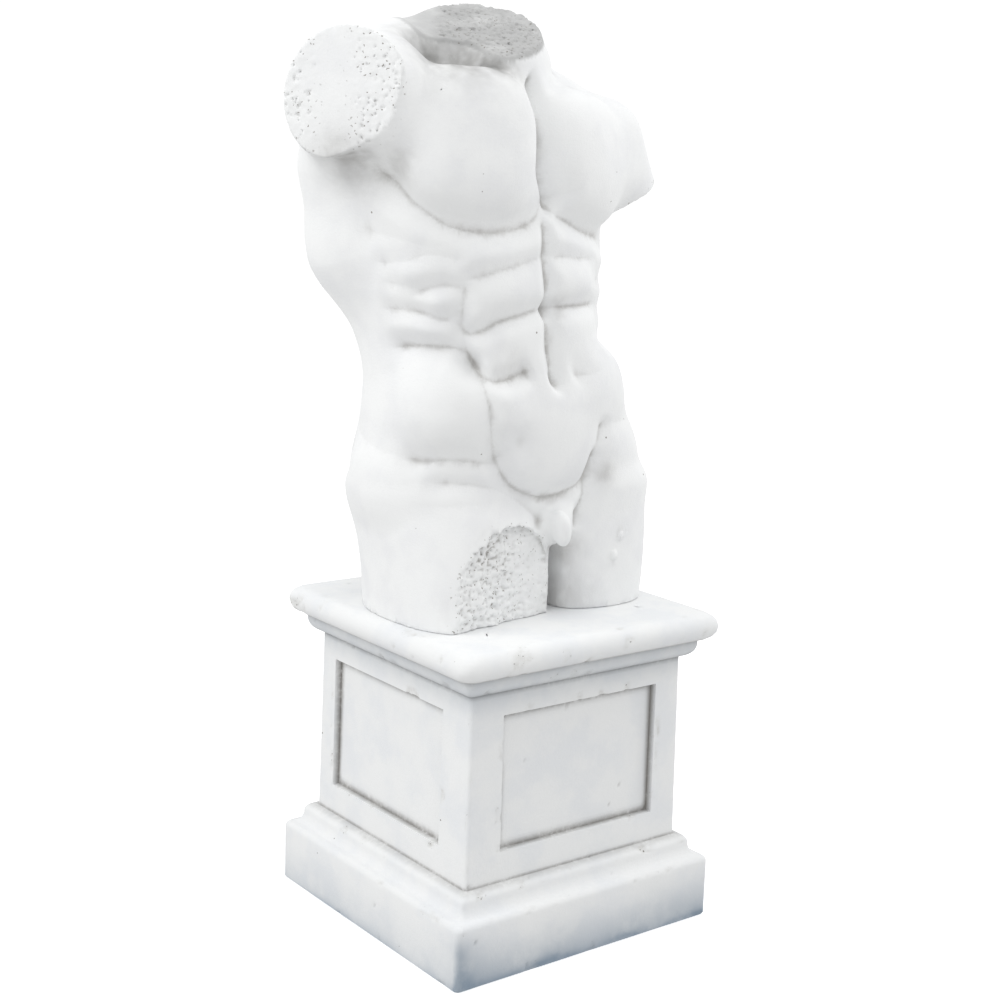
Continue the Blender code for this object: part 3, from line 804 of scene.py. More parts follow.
# Creases, drawn on the body unrolled about its axis. Each gives its depth and width, then
# its course as (degrees round from the middle, height), towards the figure's left.
FRONT_CREASES = (
    # Breastbone, and the lower edges of the breast muscles.
    (18, 7, ((0, 482), (11, 456), (15, 429), (16, 400), (19, 380), (25, 366))),
    (9, 7, ((-78, 404), (-68, 387), (-60, 371), (-48, 355), (-30, 350), (-9, 354), (5, 362), (15, 380))),
    (9, 7, ((17, 388), (23, 368), (33, 360), (51, 349), (76, 343))),
    # The white line down the belly, and the bands across it.
    (8, 5, ((12, 368), (11, 325), (12, 300), (12, 265), (10, 244), (7, 214))),
    (5, 6, ((-47, 308), (-31, 315), (-22, 319), (6, 329), (14, 330), (38, 328), (56, 326))),
    (8, 5, ((-48, 274), (-43, 264), (-34, 267), (-23, 275), (6, 283), (32, 285), (60, 286))),
    (7, 5, ((-45, 254), (-43, 231), (-36, 223), (-29, 223), (-8, 232))),
    (3, 7, ((54, 244), (40, 226), (18, 224))),
    # The outer edges of the belly muscle.
    (6, 5, ((-41, 312), (-43, 296), (-45, 276), (-45, 252), (-41, 224), (-39, 202), (-40, 173), (-40, 146))),
    (3, 7, ((54, 326), (57, 286), (58, 250), (54, 224), (48, 200), (38, 168))),
    # Ribs, and the finger-like muscles over them.
    (5, 5, ((-66, 290), (-62, 298), (-53, 305), (-38, 302))),
    (5, 5, ((-70, 282), (-60, 281), (-52, 277), (-41, 287))),
    (5, 6, ((-82, 282), (-66, 283), (-58, 277), (-48, 273), (-40, 264))),
    (8, 6, ((-80, 248), (-67, 252), (-56, 252), (-50, 251), (-41, 244))),
    (4, 7, ((-80, 306), (-69, 304), (-57, 301), (-42, 310))),
    (4, 7, ((-82, 322), (-67, 324), (-55, 331), (-38, 324))),
    (3, 8, ((-88, 352), (-66, 342), (-51, 338), (-34, 346))),
    (5, 7, ((56, 250), (74, 252), (92, 260))),
    (4, 7, ((52, 286), (68, 282), (86, 292))),
    (4, 7, ((52, 306), (68, 309), (84, 320))),
    # The rim of the hips and the lower edge of the belly.
    (3, 9, ((-108, 172), (-88, 158), (-62, 152))),
    (7, 6, ((-78, 152), (-68, 151), (-58, 152), (-49, 150), (-36, 146))),
    (8, 6, ((-42, 162), (-34, 132), (-24, 120), (-8, 113), (10, 114), (27, 122), (35, 138), (42, 186))),
    (4, 9, ((42, 178), (56, 176), (74, 182), (96, 194))),
    (5, 7, ((-68, 134), (-49, 129), (-37, 121), (-19, 103), (-4, 86))),
    (8, 6, ((40, 158), (33, 129), (29, 105), (24, 78))),
)
BACK_CREASES = (
    (9, 14, ((0, 452), (-1, 380), (-1, 300), (0, 220), (0, 150))),
    (18, 9, ((0, 128), (1, 90), (2, 40), (2, -20))),
    (6, 7, ((-62, 40), (-40, 28), (-18, 34), (2, 44))),
    (6, 7, ((62, 40), (40, 28), (18, 34), (2, 44))),
    (5, 11, ((-14, 436), (-22, 400), (-30, 350), (-48, 330))),
    (5, 11, ((14, 430), (22, 396), (30, 346), (48, 326))),
    (3, 10, ((-8, 214), (-24, 250), (-50, 290))),
    (3, 10, ((8, 214), (24, 250), (50, 290))),
    (4, 10, ((-10, 138), (-30, 162), (-58, 176))),
    (4, 10, ((10, 138), (30, 164), (58, 184))),
)
# Hollows: depth, radius and place, drawn in the same way. A depth below zero is a swelling.
FRONT_HOLLOWS = (
    (9, 7, (7, 218)),
    (7, 8, (13, 283)),
    (6, 10, (-43, 236)),
    (4, 15, (-26, 168)),
    # Blocks of the belly muscle.
    (-3, 24, (-15, 298)),
    (-3, 24, (-16, 250)),
    (-3, 22, (34, 306)),
    (-3, 24, (34, 256)),
    # Ribs, the muscle fingers over them, and the sides of the belly.
    (-3, 12, (-53, 291)),
    (-3, 13, (-60, 265)),
    (-3, 14, (-64, 314)),
    (-4, 36, (-68, 196)),
)

# Pits in a break: squash along the height, spacing, largest radius and seed.
BREAK_PITS = ((1.0, 5.2, 1.4, 21), (1.0, 4.6, 1.2, 22), (0.5, 6.5, 1.5, 23))


@dataclass
class Torso:
    """The broken figure, carved as one form and dressed in white cast stone."""

    cap_top: float = 0.303
    resting_gap: float = 0.0003
    step: float = 1.7
    low: Triple = (-272, -160, -8)
    high: Triple = (206, 140, 566)
    triangles: int = 194000
    section_squareness: float = 2.5
    loft_end: float = 30.0
    unrolled_radius: float = 100.0
    skin: float = 24.0
    crease_fade: float = 14.0
    neck: BrokenNeck = BrokenNeck(1.0, 0.9)
    right_arm: Break = Break(0.24, 1.0, (-206, -38, 464), (-0.80, -0.60, 0.0), (170, 170, 120), (-12.0, 17.0))
    left_arm: Break = Break(0.4, 0.5, (144.6, -10, 396.3), (0.48, 0.0, -0.88), (140, 136, 120))
    right_thigh: SplitThigh = SplitThigh(1.2, 0.7)
    # Where dirt and damp have gathered, with painted shade in the deep hollows by the neck, in the armpit and
    # between the thighs: place, reach, and the strength of each.
    stains_and_shade: tuple[tuple[Triple, float, float, float], ...] = (
        ((-104, -34, 490), 36, 0.9, 1.0),
        ((-74, -54, 484), 21, 0.8, 0.8),
        ((-200, -30, 402), 26, 0.65, 0.25),
        ((-168, -58, 404), 18, 0.35, 0.12),
        ((18, -52, 8), 34, 0.45, 0.12),
        ((22, -62, 56), 18, 0.45, 0.1),
        ((8, -72, 400), 12, 0.3, 0.1),
        ((-64, -70, 236), 15, 0.55, 0.2),
        ((-8, -84, 284), 9, 0.6, 0.2),
        ((-72, -76, 62), 20, 0.8, 0.0),
        ((-98, -70, 20), 18, 0.5, 0.0),
        ((60, -72, 128), 12, 0.4, 0.1),
    )

    def build(self) -> bpy.types.Object:
        """Carve the figure and dress it.

        Returns:
            The finished piece.
        """
        points, faces = skin_of(self.form, self.low, self.high, self.step)
        mesh = bpy.data.meshes.new("torso_carving")
        mesh.from_pydata((points * MILLIMETRE + [0, 0, self.cap_top]).tolist(), [], faces.tolist())
        piece = bpy.data.objects.new("torso_carving", mesh)
        bpy.context.scene.collection.objects.link(piece)
        thin = piece.modifiers.new("thin", "DECIMATE")
        thin.ratio = min(1.0, self.triangles / (2 * len(mesh.polygons)))
        mesh = plain_mesh(piece, "torso_carving")
        mesh.shade_smooth()
        self._mark(mesh)
        mesh.materials.append(TORSO_STONE.material())
        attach(piece, "root")
        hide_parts("torso")
        LOG.info("torso: %d faces", len(mesh.polygons))
        return piece

    def form(self, points: np.ndarray) -> np.ndarray:
        """Measure to the whole broken figure.

        Args:
            points: Places in the figure's units, one a row.

        Returns:
            The distance outside it.
        """
        body = self._masses(points)
        near = np.flatnonzero(np.abs(body) < self.skin)
        body[near] += self._relief(points[near])
        near = np.flatnonzero(body < self.skin)
        body[near] = self._broken(body[near], points[near])
        ground = self.resting_gap / MILLIMETRE - points[:, 2]
        return np.maximum(body, ground)

    def _masses(self, points: np.ndarray) -> np.ndarray:
        """Run the figure's main forms together."""
        left, right = Side.LEFT.value, Side.RIGHT.value
        body = self._loft(points, TRUNK_SECTIONS)
        chest = turned(points, (-46, 0, 400), turn=7, lean=5)
        # The broad back below each arm; the raised right arm draws its side out.
        body = joined(body, limb(points, (-142, 38, 402), (-131, 37, 334), 56, 53), 20)
        body = joined(body, limb(points, (-131, 37, 334), (-96, 24, 240), 53, 31), 20)
        body = joined(body, limb(points, (40, 40, 385), (44, 26, 250), 52, 42), 30)
        # Shoulders and arms.
        body = joined(body, pad(chest, (left * 102, 8, 30), (52, 52, 60), lean=-20), 30)
        body = joined(body, pad(chest, (right * 104, 4, 40), (56, 54, 60)), 30)
        right_arm = limb(points, (-140, 10, 450), (-240, -64, 466), 53, 54)
        right_arm = joined(right_arm, limb(points, (-150, 22, 434), (-236, -52, 454), 40, 40), 20)
        right_arm = cut_by(right_arm, before(points, (-191, -58, 443), (0.46, -0.61, -0.644)), 14)
        body = joined(body, right_arm, 26)
        body = joined(body, limb(points, (90, 2, 430), (156, -4, 330), 44, 34), 20)
        # Neck and the slope from it to each shoulder.
        body = joined(body, limb(points, (-38, 12, 470), (-36, 2, 590), 52, 52), 22)
        body = joined(body, limb(chest, (0, 22, 92), (left * 92, 14, 70), 34, 32), 24)
        body = joined(body, limb(points, (-60, 30, 506), (-146, 24, 484), 36, 38), 20)
        # Breast muscles, and the parts of them that run out to the arms.
        body = joined(body, limb(points, (-95, -44, 408), (-200, -28, 466), 46, 31), 24)
        body = joined(body, limb(points, (24, -40, 430), (94, -16, 434), 38, 28), 20)
        body = joined(body, limb(points, (30, -42, 398), (98, -14, 402), 40, 32), 20)
        body = joined(body, limb(points, (-48, -14, 440), (-46, -6, 474), 54, 46), 16)
        body = joined(body, limb(points, (-45, -32, 448), (-44, -14, 484), 40, 40), 24)
        body = joined(body, pad(chest, (left * 62, -34, 13), (59, 54, 68), 16, 0, -6, 3.0), 8)
        body = joined(body, pad(chest, (right * 57, -34, 14), (66, 56, 70), -16, 0, -6, 3.0), 8)
        # The hollow behind the right collar bone, and the armpit below the raised arm.
        body = cut_by(body, pad(points, (-104, -34, 508), (36, 28, 32)), 12)
        body = cut_by(body, limb(points, (-212, -10, 394), (-190, -40, 398), 13, 7), 12)
        # The flanks above the hips.
        body = joined(body, pad(points, (-78, -30, 200), (60, 62, 50), -20, 0, 0, 2.4), 16)
        body = joined(body, pad(points, (44, -34, 208), (46, 48, 44), 20, 0, 0, 2.4), 16)
        # Belly and buttocks.
        hips = turned(points, (-6, 2, 110), turn=-2, lean=-3)
        body = joined(body, pad(hips, (0, -46, 62), (62, 46, 74)), 14)
        for side in (left, right):
            body = joined(body, pad(hips, (side * 62, 48, -4), (62, 60, 66)), 16)
        body = joined(body, self._loft(points, LEFT_THIGH_SECTIONS), 18)
        body = joined(body, self._loft(points, RIGHT_THIGH_SECTIONS), 12)
        # The gap between the thighs.
        body = cut_by(body, pad(points, (17, -80, 0), (8, 60, 68), squareness=2.4), 12)
        body = joined(body, pad(points, (10, -64, 88), (19, 17, 22)), 9)
        body = joined(body, pad(points, (5, -80, 84), (9, 10, 18), lean=-12), 5)
        # Two crumbs of stone that stand out on the left thigh.
        body = joined(body, pad(points, (81, -76, 68), (3, 2.5, 4.5), lean=20), 1.5)
        return joined(body, pad(points, (74, -76, 50), (4, 2.5, 5), lean=-10), 1.5)

    def _loft(self, points: np.ndarray, sections: Sequence[Sequence[float]]) -> np.ndarray:
        """Measure to a superellipse at each height, its sizes eased between the sections."""
        table = np.array(sections, float)
        heights = table[:, 0]
        level = np.clip(points[:, 2], heights[0], heights[-1])
        across, fore, wide, front, back, turn = (eased(level, heights, table[:, i]) for i in range(1, 7))
        turn = np.radians(turn)
        dx = points[:, 0] - across
        dy = points[:, 1] - fore
        u = dx * np.cos(turn) + dy * np.sin(turn)
        v = dy * np.cos(turn) - dx * np.sin(turn)
        w = points[:, 2] - level
        power = self.section_squareness
        reach = np.abs(u / wide) ** power + np.abs(v / np.where(v < 0, front, back)) ** power
        reach = np.maximum((reach + np.abs(w / self.loft_end) ** power) ** (1.0 / power), 1e-3)
        return np.sqrt(u * u + v * v + w * w) * (1.0 - 1.0 / reach) - (reach < 0.01) * self.loft_end

    def _unrolled(self, points: np.ndarray, back: bool) -> np.ndarray:
        """Give each point's place on the body unrolled about its axis: round, and height."""
        table = np.array(TRUNK_SECTIONS, float)
        level = np.clip(points[:, 2], table[0, 0], table[-1, 0])
        out = points[:, 0] - eased(level, table[:, 0], table[:, 1])
        ahead = points[:, 1] if back else -points[:, 1]
        return np.stack([np.arctan2(out, ahead) * self.unrolled_radius, points[:, 2]], axis=1)

    def _course(self, marks: Sequence[Sequence[float]], steps: int = 5) -> np.ndarray:
        """Put a smooth curve's points between the marks of a crease."""
        table = np.array(marks, float) * [math.radians(self.unrolled_radius), 1.0]
        padded = np.concatenate([[2 * table[0] - table[1]], table, [2 * table[-1] - table[-2]]])
        course = []
        for before, start, end, after in zip(padded, padded[1:], padded[2:], padded[3:]):
            for t in np.arange(steps) / steps:
                lift = before - 2.5 * start + 2.0 * end - 0.5 * after
                bend = 1.5 * (start - end) + 0.5 * (after - before)
                course.append(start + 0.5 * t * (end - before) + t * t * lift + t**3 * bend)
        course.append(padded[-2])
        return np.array(course)

    def _creased(self, points: np.ndarray, creases: Sequence, back: bool) -> np.ndarray:
        """Add up how deep the creases go at each point."""
        places = self._unrolled(points, back)
        depth = np.zeros(len(points))
        for deep, wide, marks in creases:
            course = self._course(marks)
            low, high = course.min(axis=0) - 5 * wide, course.max(axis=0) + 5 * wide
            near = np.flatnonzero(((places > low) & (places < high)).all(axis=1))
            gap = np.full(len(near), np.inf)
            run = np.zeros(len(near))
            done = 0.0
            for start, end in zip(course, course[1:]):
                along = end - start
                length = math.hypot(*along)
                share = np.clip((places[near] - start) @ along / (length * length), 0.0, 1.0)
                offset = places[near] - start - share[:, None] * along
                distance = np.hypot(offset[:, 0], offset[:, 1])
                run = np.where(distance < gap, done + share * length, run)
                gap = np.minimum(gap, distance)
                done += length
            fade = smooth_step(np.minimum(run, done - run), -4.0, self.crease_fade)
            valley = 0.92 * np.exp(-((gap / (2.1 * wide)) ** 2)) + 0.22 * np.exp(-gap / (0.6 * wide))
            depth[near] = np.hypot(depth[near], deep * fade * valley)
        return depth

    def _relief(self, points: np.ndarray) -> np.ndarray:
        """Add up how far the skin is drawn in at each point, front and back."""
        depth = np.zeros(len(points))
        front = points[:, 1] < 40
        back = points[:, 1] > 0
        depth[front] = self._creased(points[front], FRONT_CREASES, False)
        depth[back] = np.maximum(depth[back], self._creased(points[back], BACK_CREASES, True))
        places = self._unrolled(points[front], False)
        for deep, wide, (round_from_middle, height) in FRONT_HOLLOWS:
            middle = (math.radians(round_from_middle) * self.unrolled_radius, height)
            gap = ((places - middle) ** 2).sum(axis=1)
            depth[front] += deep * np.exp(-gap / (wide * wide))
        return depth + 0.25 * mottle(points, 26, 3) + 0.12 * mottle(points, 9, 4)

    def _broken(self, body: np.ndarray, points: np.ndarray) -> np.ndarray:
        """Break the figure off at neck, arms and thigh, leaving rough pitted faces."""
        for part in (self.neck, self.right_arm, self.left_arm, self.right_thigh):
            tool = part.tool(points)
            face = np.flatnonzero(np.abs(tool) < 9.0)
            place = points[face]
            worn = part.worn(place)
            lumps = 1.8 * mottle(place, 17, 11) + 1.4 * mottle(place * [1.0, 1.0, 1.6], 4.0, 13)
            flakes = np.abs(mottle(place * [1.0, 1.0, 1.8] + 2.0 * lumps[:, None], 10.0, 12))
            lumps += 2.4 * np.minimum(flakes, 0.4) - 0.5
            warped = place + 1.5 * lumps[:, None] * [1.0, -1.0, 0.6]
            holes = [
                pits(warped * [1.0, 1.0, squash], spacing, radius, part.pitted, seed)
                for squash, spacing, radius, seed in BREAK_PITS
            ]
            holes = np.minimum.reduce(holes) + 1.4 * worn
            surface = tool[face] + part.rough * (1.0 - worn) * lumps
            tool[face] = np.minimum(surface, np.where(surface < 2.2, holes, 9.0))
            body = cut_by(body, tool, 1.4)
        return np.maximum(body, -pits(points, 44.0, 1.3, 0.6, 31))

    def _mark(self, mesh: bpy.types.Mesh) -> None:
        """Mark the broken faces, and the hollows where dirt and painted shade lie."""
        points = (points_of(mesh) - [0, 0, self.cap_top]) / MILLIMETRE
        broken = np.zeros(len(points))
        for part in (self.neck, self.right_arm, self.left_arm, self.right_thigh):
            face = 1.0 - smooth_step(np.abs(part.tool(points)), 3.5, 6.5)
            broken = np.maximum(broken, face * (1.0 - part.worn(points)))
        # Painted shade in the broad hollows, and dirt in the fine creases.
        wide = hollowness(mesh, 40) / MILLIMETRE
        fine = hollowness(mesh, 6) / MILLIMETRE
        fine = smooth_step(fine, 0.10, 0.7)
        hollow = (1.0 - 0.45 * broken) * (0.6 * smooth_step(wide, 0.35, 2.4) + 0.46 * fine)
        stained_and_shaded, greyed = np.zeros(len(points)), np.zeros(len(points))
        # Stains of dirt and greying, partly painted shade in the deep hollows.
        for place, reach, dirt_and_shade, damp_and_shade in self.stains_and_shade:
            away = np.linalg.norm(points - np.array(place, float), axis=1) / reach
            stained_and_shaded = np.maximum(stained_and_shaded, dirt_and_shade * np.exp(-away * away))
            greyed = np.maximum(greyed, damp_and_shade * np.exp(-away * away))
        patchy = 1.0 + 0.4 * mottle(points, 9, 51) + 0.3 * mottle(points, 4, 52)
        stained_and_shaded *= patchy * (1.0 + broken * (2.0 * fine - 0.8))
        # The broken neck faces the sky, and has greyed, most where it is rough.
        face = 1.0 - smooth_step(self.neck.tool(points), 3.5, 7.0)
        face *= smooth_step(0.79 * points[:, 0] - 0.61 * points[:, 1], -150.0, -80.0)
        greyed = np.maximum(greyed * patchy, face * (0.66 - 0.10 * self.neck.worn(points)))
        keep_attribute(mesh, "broken", broken)
        hollow = spread(mesh, hollow, 1) + stained_and_shaded + 0.4 * face * fine
        keep_attribute(mesh, "hollow", np.clip(hollow, 0.0, 1.0))
        keep_attribute(mesh, "damp_and_shade", np.clip(greyed, 0.0, 1.0))


# The pedestal.


@dataclass
class Pedestal:
    """The square pedestal: base block, moulded step, panelled die, bed moulding and cap."""

    base_side: float = 0.300
    base_height: float = 0.061
    base_edge_radius: float = 0.006
    base_corner_radius: float = 0.006
    step_side: float = 0.272
    step_height: float = 0.020
    die_bottom_side: float = 0.2506
    die_top_side: float = 0.2460
    die_height: float = 0.178
    die_corner_radius: float = 0.004
    bed_projection: float = 0.012
    bed_height: float = 0.018
    cap_side: float = 0.302
    cap_thickness: float = 0.026
    cap_edge_radius: float = 0.0125
    cap_corner_radius: float = 0.013
    panel_width: float = 0.180
    panel_rise: float = 0.028
    panel_height: float = 0.127
    panel_depth: float = 0.0065
    front_panel_shift: float = 0.003
    right_panel_shift: float = -0.008
    panel_lip: float = 0.0008
    face_step: float = 0.0029
    corner_segments: int = 8
    arc_segments: int = 8

    def build(self) -> bpy.types.Object:
        """Carry the profile round the square, sink the panels, wear the edges and dress it.

        Returns:
            The finished piece.
        """
        profile = self._chain("pedestal_profile", self._profile())
        marks = self._chain("pedestal_marks", self._marks())
        loft = profile.modifiers.new("loft", "NODES")
        loft.node_group = self._loft_tree()
        stone = PEDESTAL_STONE.material()
        low = self.base_height + self.step_height + self.panel_rise
        sizes = {
            "Marks": marks,
            "Panel width": self.panel_width,
            "Panel low": low,
            "Panel high": low + self.panel_height,
            "Panel depth": self.panel_depth,
            "Panel lip": self.panel_lip,
            "Face step": self.face_step,
            "Front shift": self.front_panel_shift,
            "Right shift": self.right_panel_shift,
            "Stone": stone,
        }
        for item in loft.node_group.interface.items_tree:
            if item.item_type == "SOCKET" and item.in_out == "INPUT" and item.name in sizes:
                loft[item.identifier] = sizes[item.name]
        mesh = plain_mesh(profile, "pedestal_casting")
        bpy.data.objects.remove(marks, do_unlink=True)
        profile.name = "pedestal_casting"
        self._wear_and_shade(mesh)
        mesh.shade_smooth()
        mesh.set_sharp_from_angle(angle=math.radians(38))
        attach(profile, "root")
        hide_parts("pedestal")
        LOG.info("pedestal: %d faces", len(mesh.polygons))
        return profile

    def _arc(self, middle: float, height: float, across: float, up: float, start: float, end: float) -> list:
        """List points (half side, height) along an elliptical arc, its angles in degrees."""
        shares = [i / self.arc_segments for i in range(self.arc_segments + 1)]
        angles = [math.radians(start + (end - start) * share) for share in shares]
        return [(middle + across * math.cos(a), height + up * math.sin(a)) for a in angles]

    def _profile(self) -> list[Triple]:
        """List (half side, corner radius, height) from the underside's middle to the top's."""
        base, cap, step = self.base_side / 2, self.cap_side / 2, self.step_side / 2
        die_bottom, die_top = self.die_bottom_side / 2, self.die_top_side / 2
        edge, corner = self.base_edge_radius, self.die_corner_radius
        step_top = self.base_height + self.step_height
        die_head = step_top + self.die_height
        bed_top = die_head + self.bed_height
        roll, band = self.step_height * 0.4, self.bed_height * 0.28
        hollow_top = step_top - roll
        rows = [(0.0, 0.0, 0.0), (base / 2, self.base_corner_radius / 2, 0.0), (base - 0.002, 0.004, 0.0)]
        rows += [(base, self.base_corner_radius, 0.002)]
        arc = self._arc(base - edge, self.base_height - edge, edge, edge, 0, 90)
        rows += [(half, self.base_corner_radius, height) for half, height in arc]
        sweep = (base - edge - step, hollow_top - self.base_height)
        arc = self._arc(base - edge, hollow_top, sweep[0], sweep[1], -90, -180)
        rows += [(half, corner, height) for half, height in arc[1:]]
        arc = self._arc(die_bottom, hollow_top, step - die_bottom, roll, 0, 90)
        rows += [(half, corner, height) for half, height in arc[1:]]
        rows.append((die_top, corner, die_head))
        arc = self._arc(die_top, bed_top - band, self.bed_projection, self.bed_height - band, -80, 0)
        rows += [(half, corner, height) for half, height in arc]
        rows.append((die_top + self.bed_projection, corner, bed_top))
        middle = bed_top + self.cap_thickness / 2
        round_over = self.cap_edge_radius
        arc = self._arc(cap - round_over, middle, round_over, self.cap_thickness / 2, -90, 90)
        rows += [(half, self.cap_corner_radius, height) for half, height in arc]
        rows.append((0.0, 0.0, bed_top + self.cap_thickness))
        return self._spaced(rows)

    def _spaced(self, rows: list[Triple]) -> list[Triple]:
        """Put rows in between until none is further than a face's step from the next."""
        out = [rows[0]]
        for start, end in zip(rows, rows[1:]):
            flat = start[2] == end[2] and max(start[0], end[0]) > self.cap_side / 3
            step = 3 * self.face_step if flat and start[2] == 0.0 else self.face_step
            count = max(1, math.ceil(math.dist((start[0], start[2]), (end[0], end[2])) / step))
            out += [tuple(a + (b - a) * i / count for a, b in zip(start, end)) for i in range(1, count + 1)]
        return out

    def _marks(self) -> list[Triple]:
        """List where each column of one face stands: (share along the flat, angle round the corner, 0)."""
        count = round(self.base_side / self.face_step)
        marks = [(2.0 * i / count - 1.0, 0.0, 0.0) for i in range(count + 1)]
        turns = self.corner_segments
        return marks + [(1.0, math.pi / 2 * i / turns, 0.0) for i in range(1, turns + 1)]

    def _chain(self, name: str, points: list[Triple]) -> bpy.types.Object:
        """Make an object that holds loose points in order, for the loft to read."""
        mesh = bpy.data.meshes.new(name)
        mesh.from_pydata(points, [], [])
        chain = bpy.data.objects.new(name, mesh)
        bpy.context.scene.collection.objects.link(chain)
        return chain

    def _loft_tree(self) -> bpy.types.NodeTree:
        """Build the tree that carries a profile round a rounded square and sinks a panel in each face.

        Returns:
            The tree. Its Geometry input is the profile: (half side, corner radius, height).
        """
        tree = bpy.data.node_groups.new("pedestal_loft", "GeometryNodeTree")
        tree.interface.new_socket("Geometry", in_out="INPUT", socket_type="NodeSocketGeometry")
        tree.interface.new_socket("Marks", in_out="INPUT", socket_type="NodeSocketObject")
        names = ("Panel width", "Panel low", "Panel high", "Panel depth", "Panel lip", "Face step")
        for name in names + ("Front shift", "Right shift"):
            tree.interface.new_socket(name, in_out="INPUT", socket_type="NodeSocketFloat")
        tree.interface.new_socket("Stone", in_out="INPUT", socket_type="NodeSocketMaterial")
        tree.interface.new_socket("Geometry", in_out="OUTPUT", socket_type="NodeSocketGeometry")
        given = add_node(tree, "NodeGroupInput").outputs

        def reckon(operation: str, *values: Any) -> Any:
            """Work out one number from others with a single operation."""
            return add_node(tree, "ShaderNodeMath", dict(enumerate(values)), operation=operation).outputs[0]

        marks = add_node(tree, "GeometryNodeObjectInfo", {"Object": given["Marks"]}).outputs["Geometry"]
        rows, posts = (
            add_node(tree, "GeometryNodeAttributeDomainSize", {0: chain}).outputs["Point Count"]
            for chain in (given["Geometry"], marks)
        )
        posts = reckon("SUBTRACT", posts, 1.0)
        columns = reckon("ADD", reckon("MULTIPLY", posts, 4.0), 1.0)
        sheet = add_node(tree, "GeometryNodeMeshGrid", {"Vertices X": columns, "Vertices Y": rows})
        index = add_node(tree, "GeometryNodeInputIndex").outputs[0]
        row = reckon("FLOORED_MODULO", index, rows)
        column = reckon("FLOOR", reckon("DIVIDE", reckon("ADD", index, 0.5), rows))
        quarter = reckon("FLOOR", reckon("DIVIDE", reckon("ADD", column, 0.5), posts))
        post = reckon("FLOORED_MODULO", column, posts)
        place = add_node(tree, "GeometryNodeInputPosition").outputs[0]
        read_row = {"Geometry": given["Geometry"], "Value": place, "Index": row}
        profile = add_node(tree, "GeometryNodeSampleIndex", read_row, data_type="FLOAT_VECTOR").outputs[0]
        read_post = {"Geometry": marks, "Value": place, "Index": post}
        mark = add_node(tree, "GeometryNodeSampleIndex", read_post, data_type="FLOAT_VECTOR").outputs[0]
        half, radius, height = add_node(tree, "ShaderNodeSeparateXYZ", {0: profile}).outputs[:3]
        share, angle = add_node(tree, "ShaderNodeSeparateXYZ", {0: mark}).outputs[:2]
        straight = reckon("SUBTRACT", half, radius)
        along = reckon("MULTIPLY_ADD", straight, share, reckon("MULTIPLY", radius, reckon("SINE", angle)))
        out = reckon("MULTIPLY_ADD", radius, reckon("COSINE", angle), straight)
        on_front = reckon("COMPARE", quarter, float(Face.FRONT.value), 0.1)
        on_right = reckon("COMPARE", quarter, float(Face.RIGHT.value), 0.1)
        shift = reckon("MULTIPLY", on_front, given["Front shift"])
        shift = reckon("MULTIPLY_ADD", on_right, given["Right shift"], shift)

        def brought_to_edge(value: Any, middle: Any, half_width: Any) -> tuple[Any, Any]:
            """Bring rows near a panel's edge onto its lip, and say how far inside the panel they are."""
            offset = reckon("SUBTRACT", value, middle)
            room = reckon("SUBTRACT", half_width, reckon("ABSOLUTE", offset))
            rank = reckon("FLOOR", reckon("ADD", reckon("DIVIDE", room, given["Face step"]), 0.5))
            on_lip = reckon("COMPARE", rank, 0.5, 0.6)
            change = reckon("SUBTRACT", reckon("MULTIPLY", rank, given["Panel lip"]), room)
            room = reckon("MULTIPLY_ADD", on_lip, change, room)
            side = reckon("SUBTRACT", reckon("MULTIPLY", reckon("GREATER_THAN", offset, 0.0), 2.0), 1.0)
            return reckon("MULTIPLY_ADD", side, reckon("SUBTRACT", half_width, room), middle), room

        half_width = reckon("MULTIPLY", given["Panel width"], 0.5)
        level = reckon("MULTIPLY", reckon("ADD", given["Panel high"], given["Panel low"]), 0.5)
        half_height = reckon("SUBTRACT", given["Panel high"], level)
        along, room_across = brought_to_edge(along, shift, half_width)
        height, room_up = brought_to_edge(height, level, half_height)
        room = reckon("MINIMUM", room_across, room_up)
        sunk = {"Value": room, "From Max": given["Panel lip"], "To Max": given["Panel depth"]}
        depth = add_node(tree, "ShaderNodeMapRange", sunk).outputs["Result"]
        back = reckon("SUBTRACT", depth, out)
        flat = add_node(tree, "ShaderNodeCombineXYZ", {0: along, 1: back, 2: height}).outputs[0]
        turn = {"Vector": flat, "Angle": reckon("MULTIPLY", quarter, math.pi / 2)}
        round_square = add_node(tree, "ShaderNodeVectorRotate", turn, rotation_type="Z_AXIS").outputs[0]
        moved = {"Geometry": sheet.outputs["Mesh"], "Position": round_square}
        moved = add_node(tree, "GeometryNodeSetPosition", moved)
        at_foot = reckon("COMPARE", room, given["Panel lip"], 0.0001)
        foot = {"Geometry": moved.outputs[0], "Name": "panel_foot", "Value": at_foot}
        marked = add_node(tree, "GeometryNodeStoreNamedAttribute", foot, domain="POINT")
        sewn = {"Geometry": marked.outputs[0], "Distance": 0.00001}
        sewn = add_node(tree, "GeometryNodeMergeByDistance", sewn)
        real = add_node(tree, "GeometryNodeRealizeInstances", {0: sewn.outputs[0]})
        dressed = {"Geometry": real.outputs[0], "Material": given["Stone"]}
        dressed = add_node(tree, "GeometryNodeSetMaterial", dressed)
        add_node(tree, "NodeGroupOutput", {0: dressed.outputs[0]})
        return tree

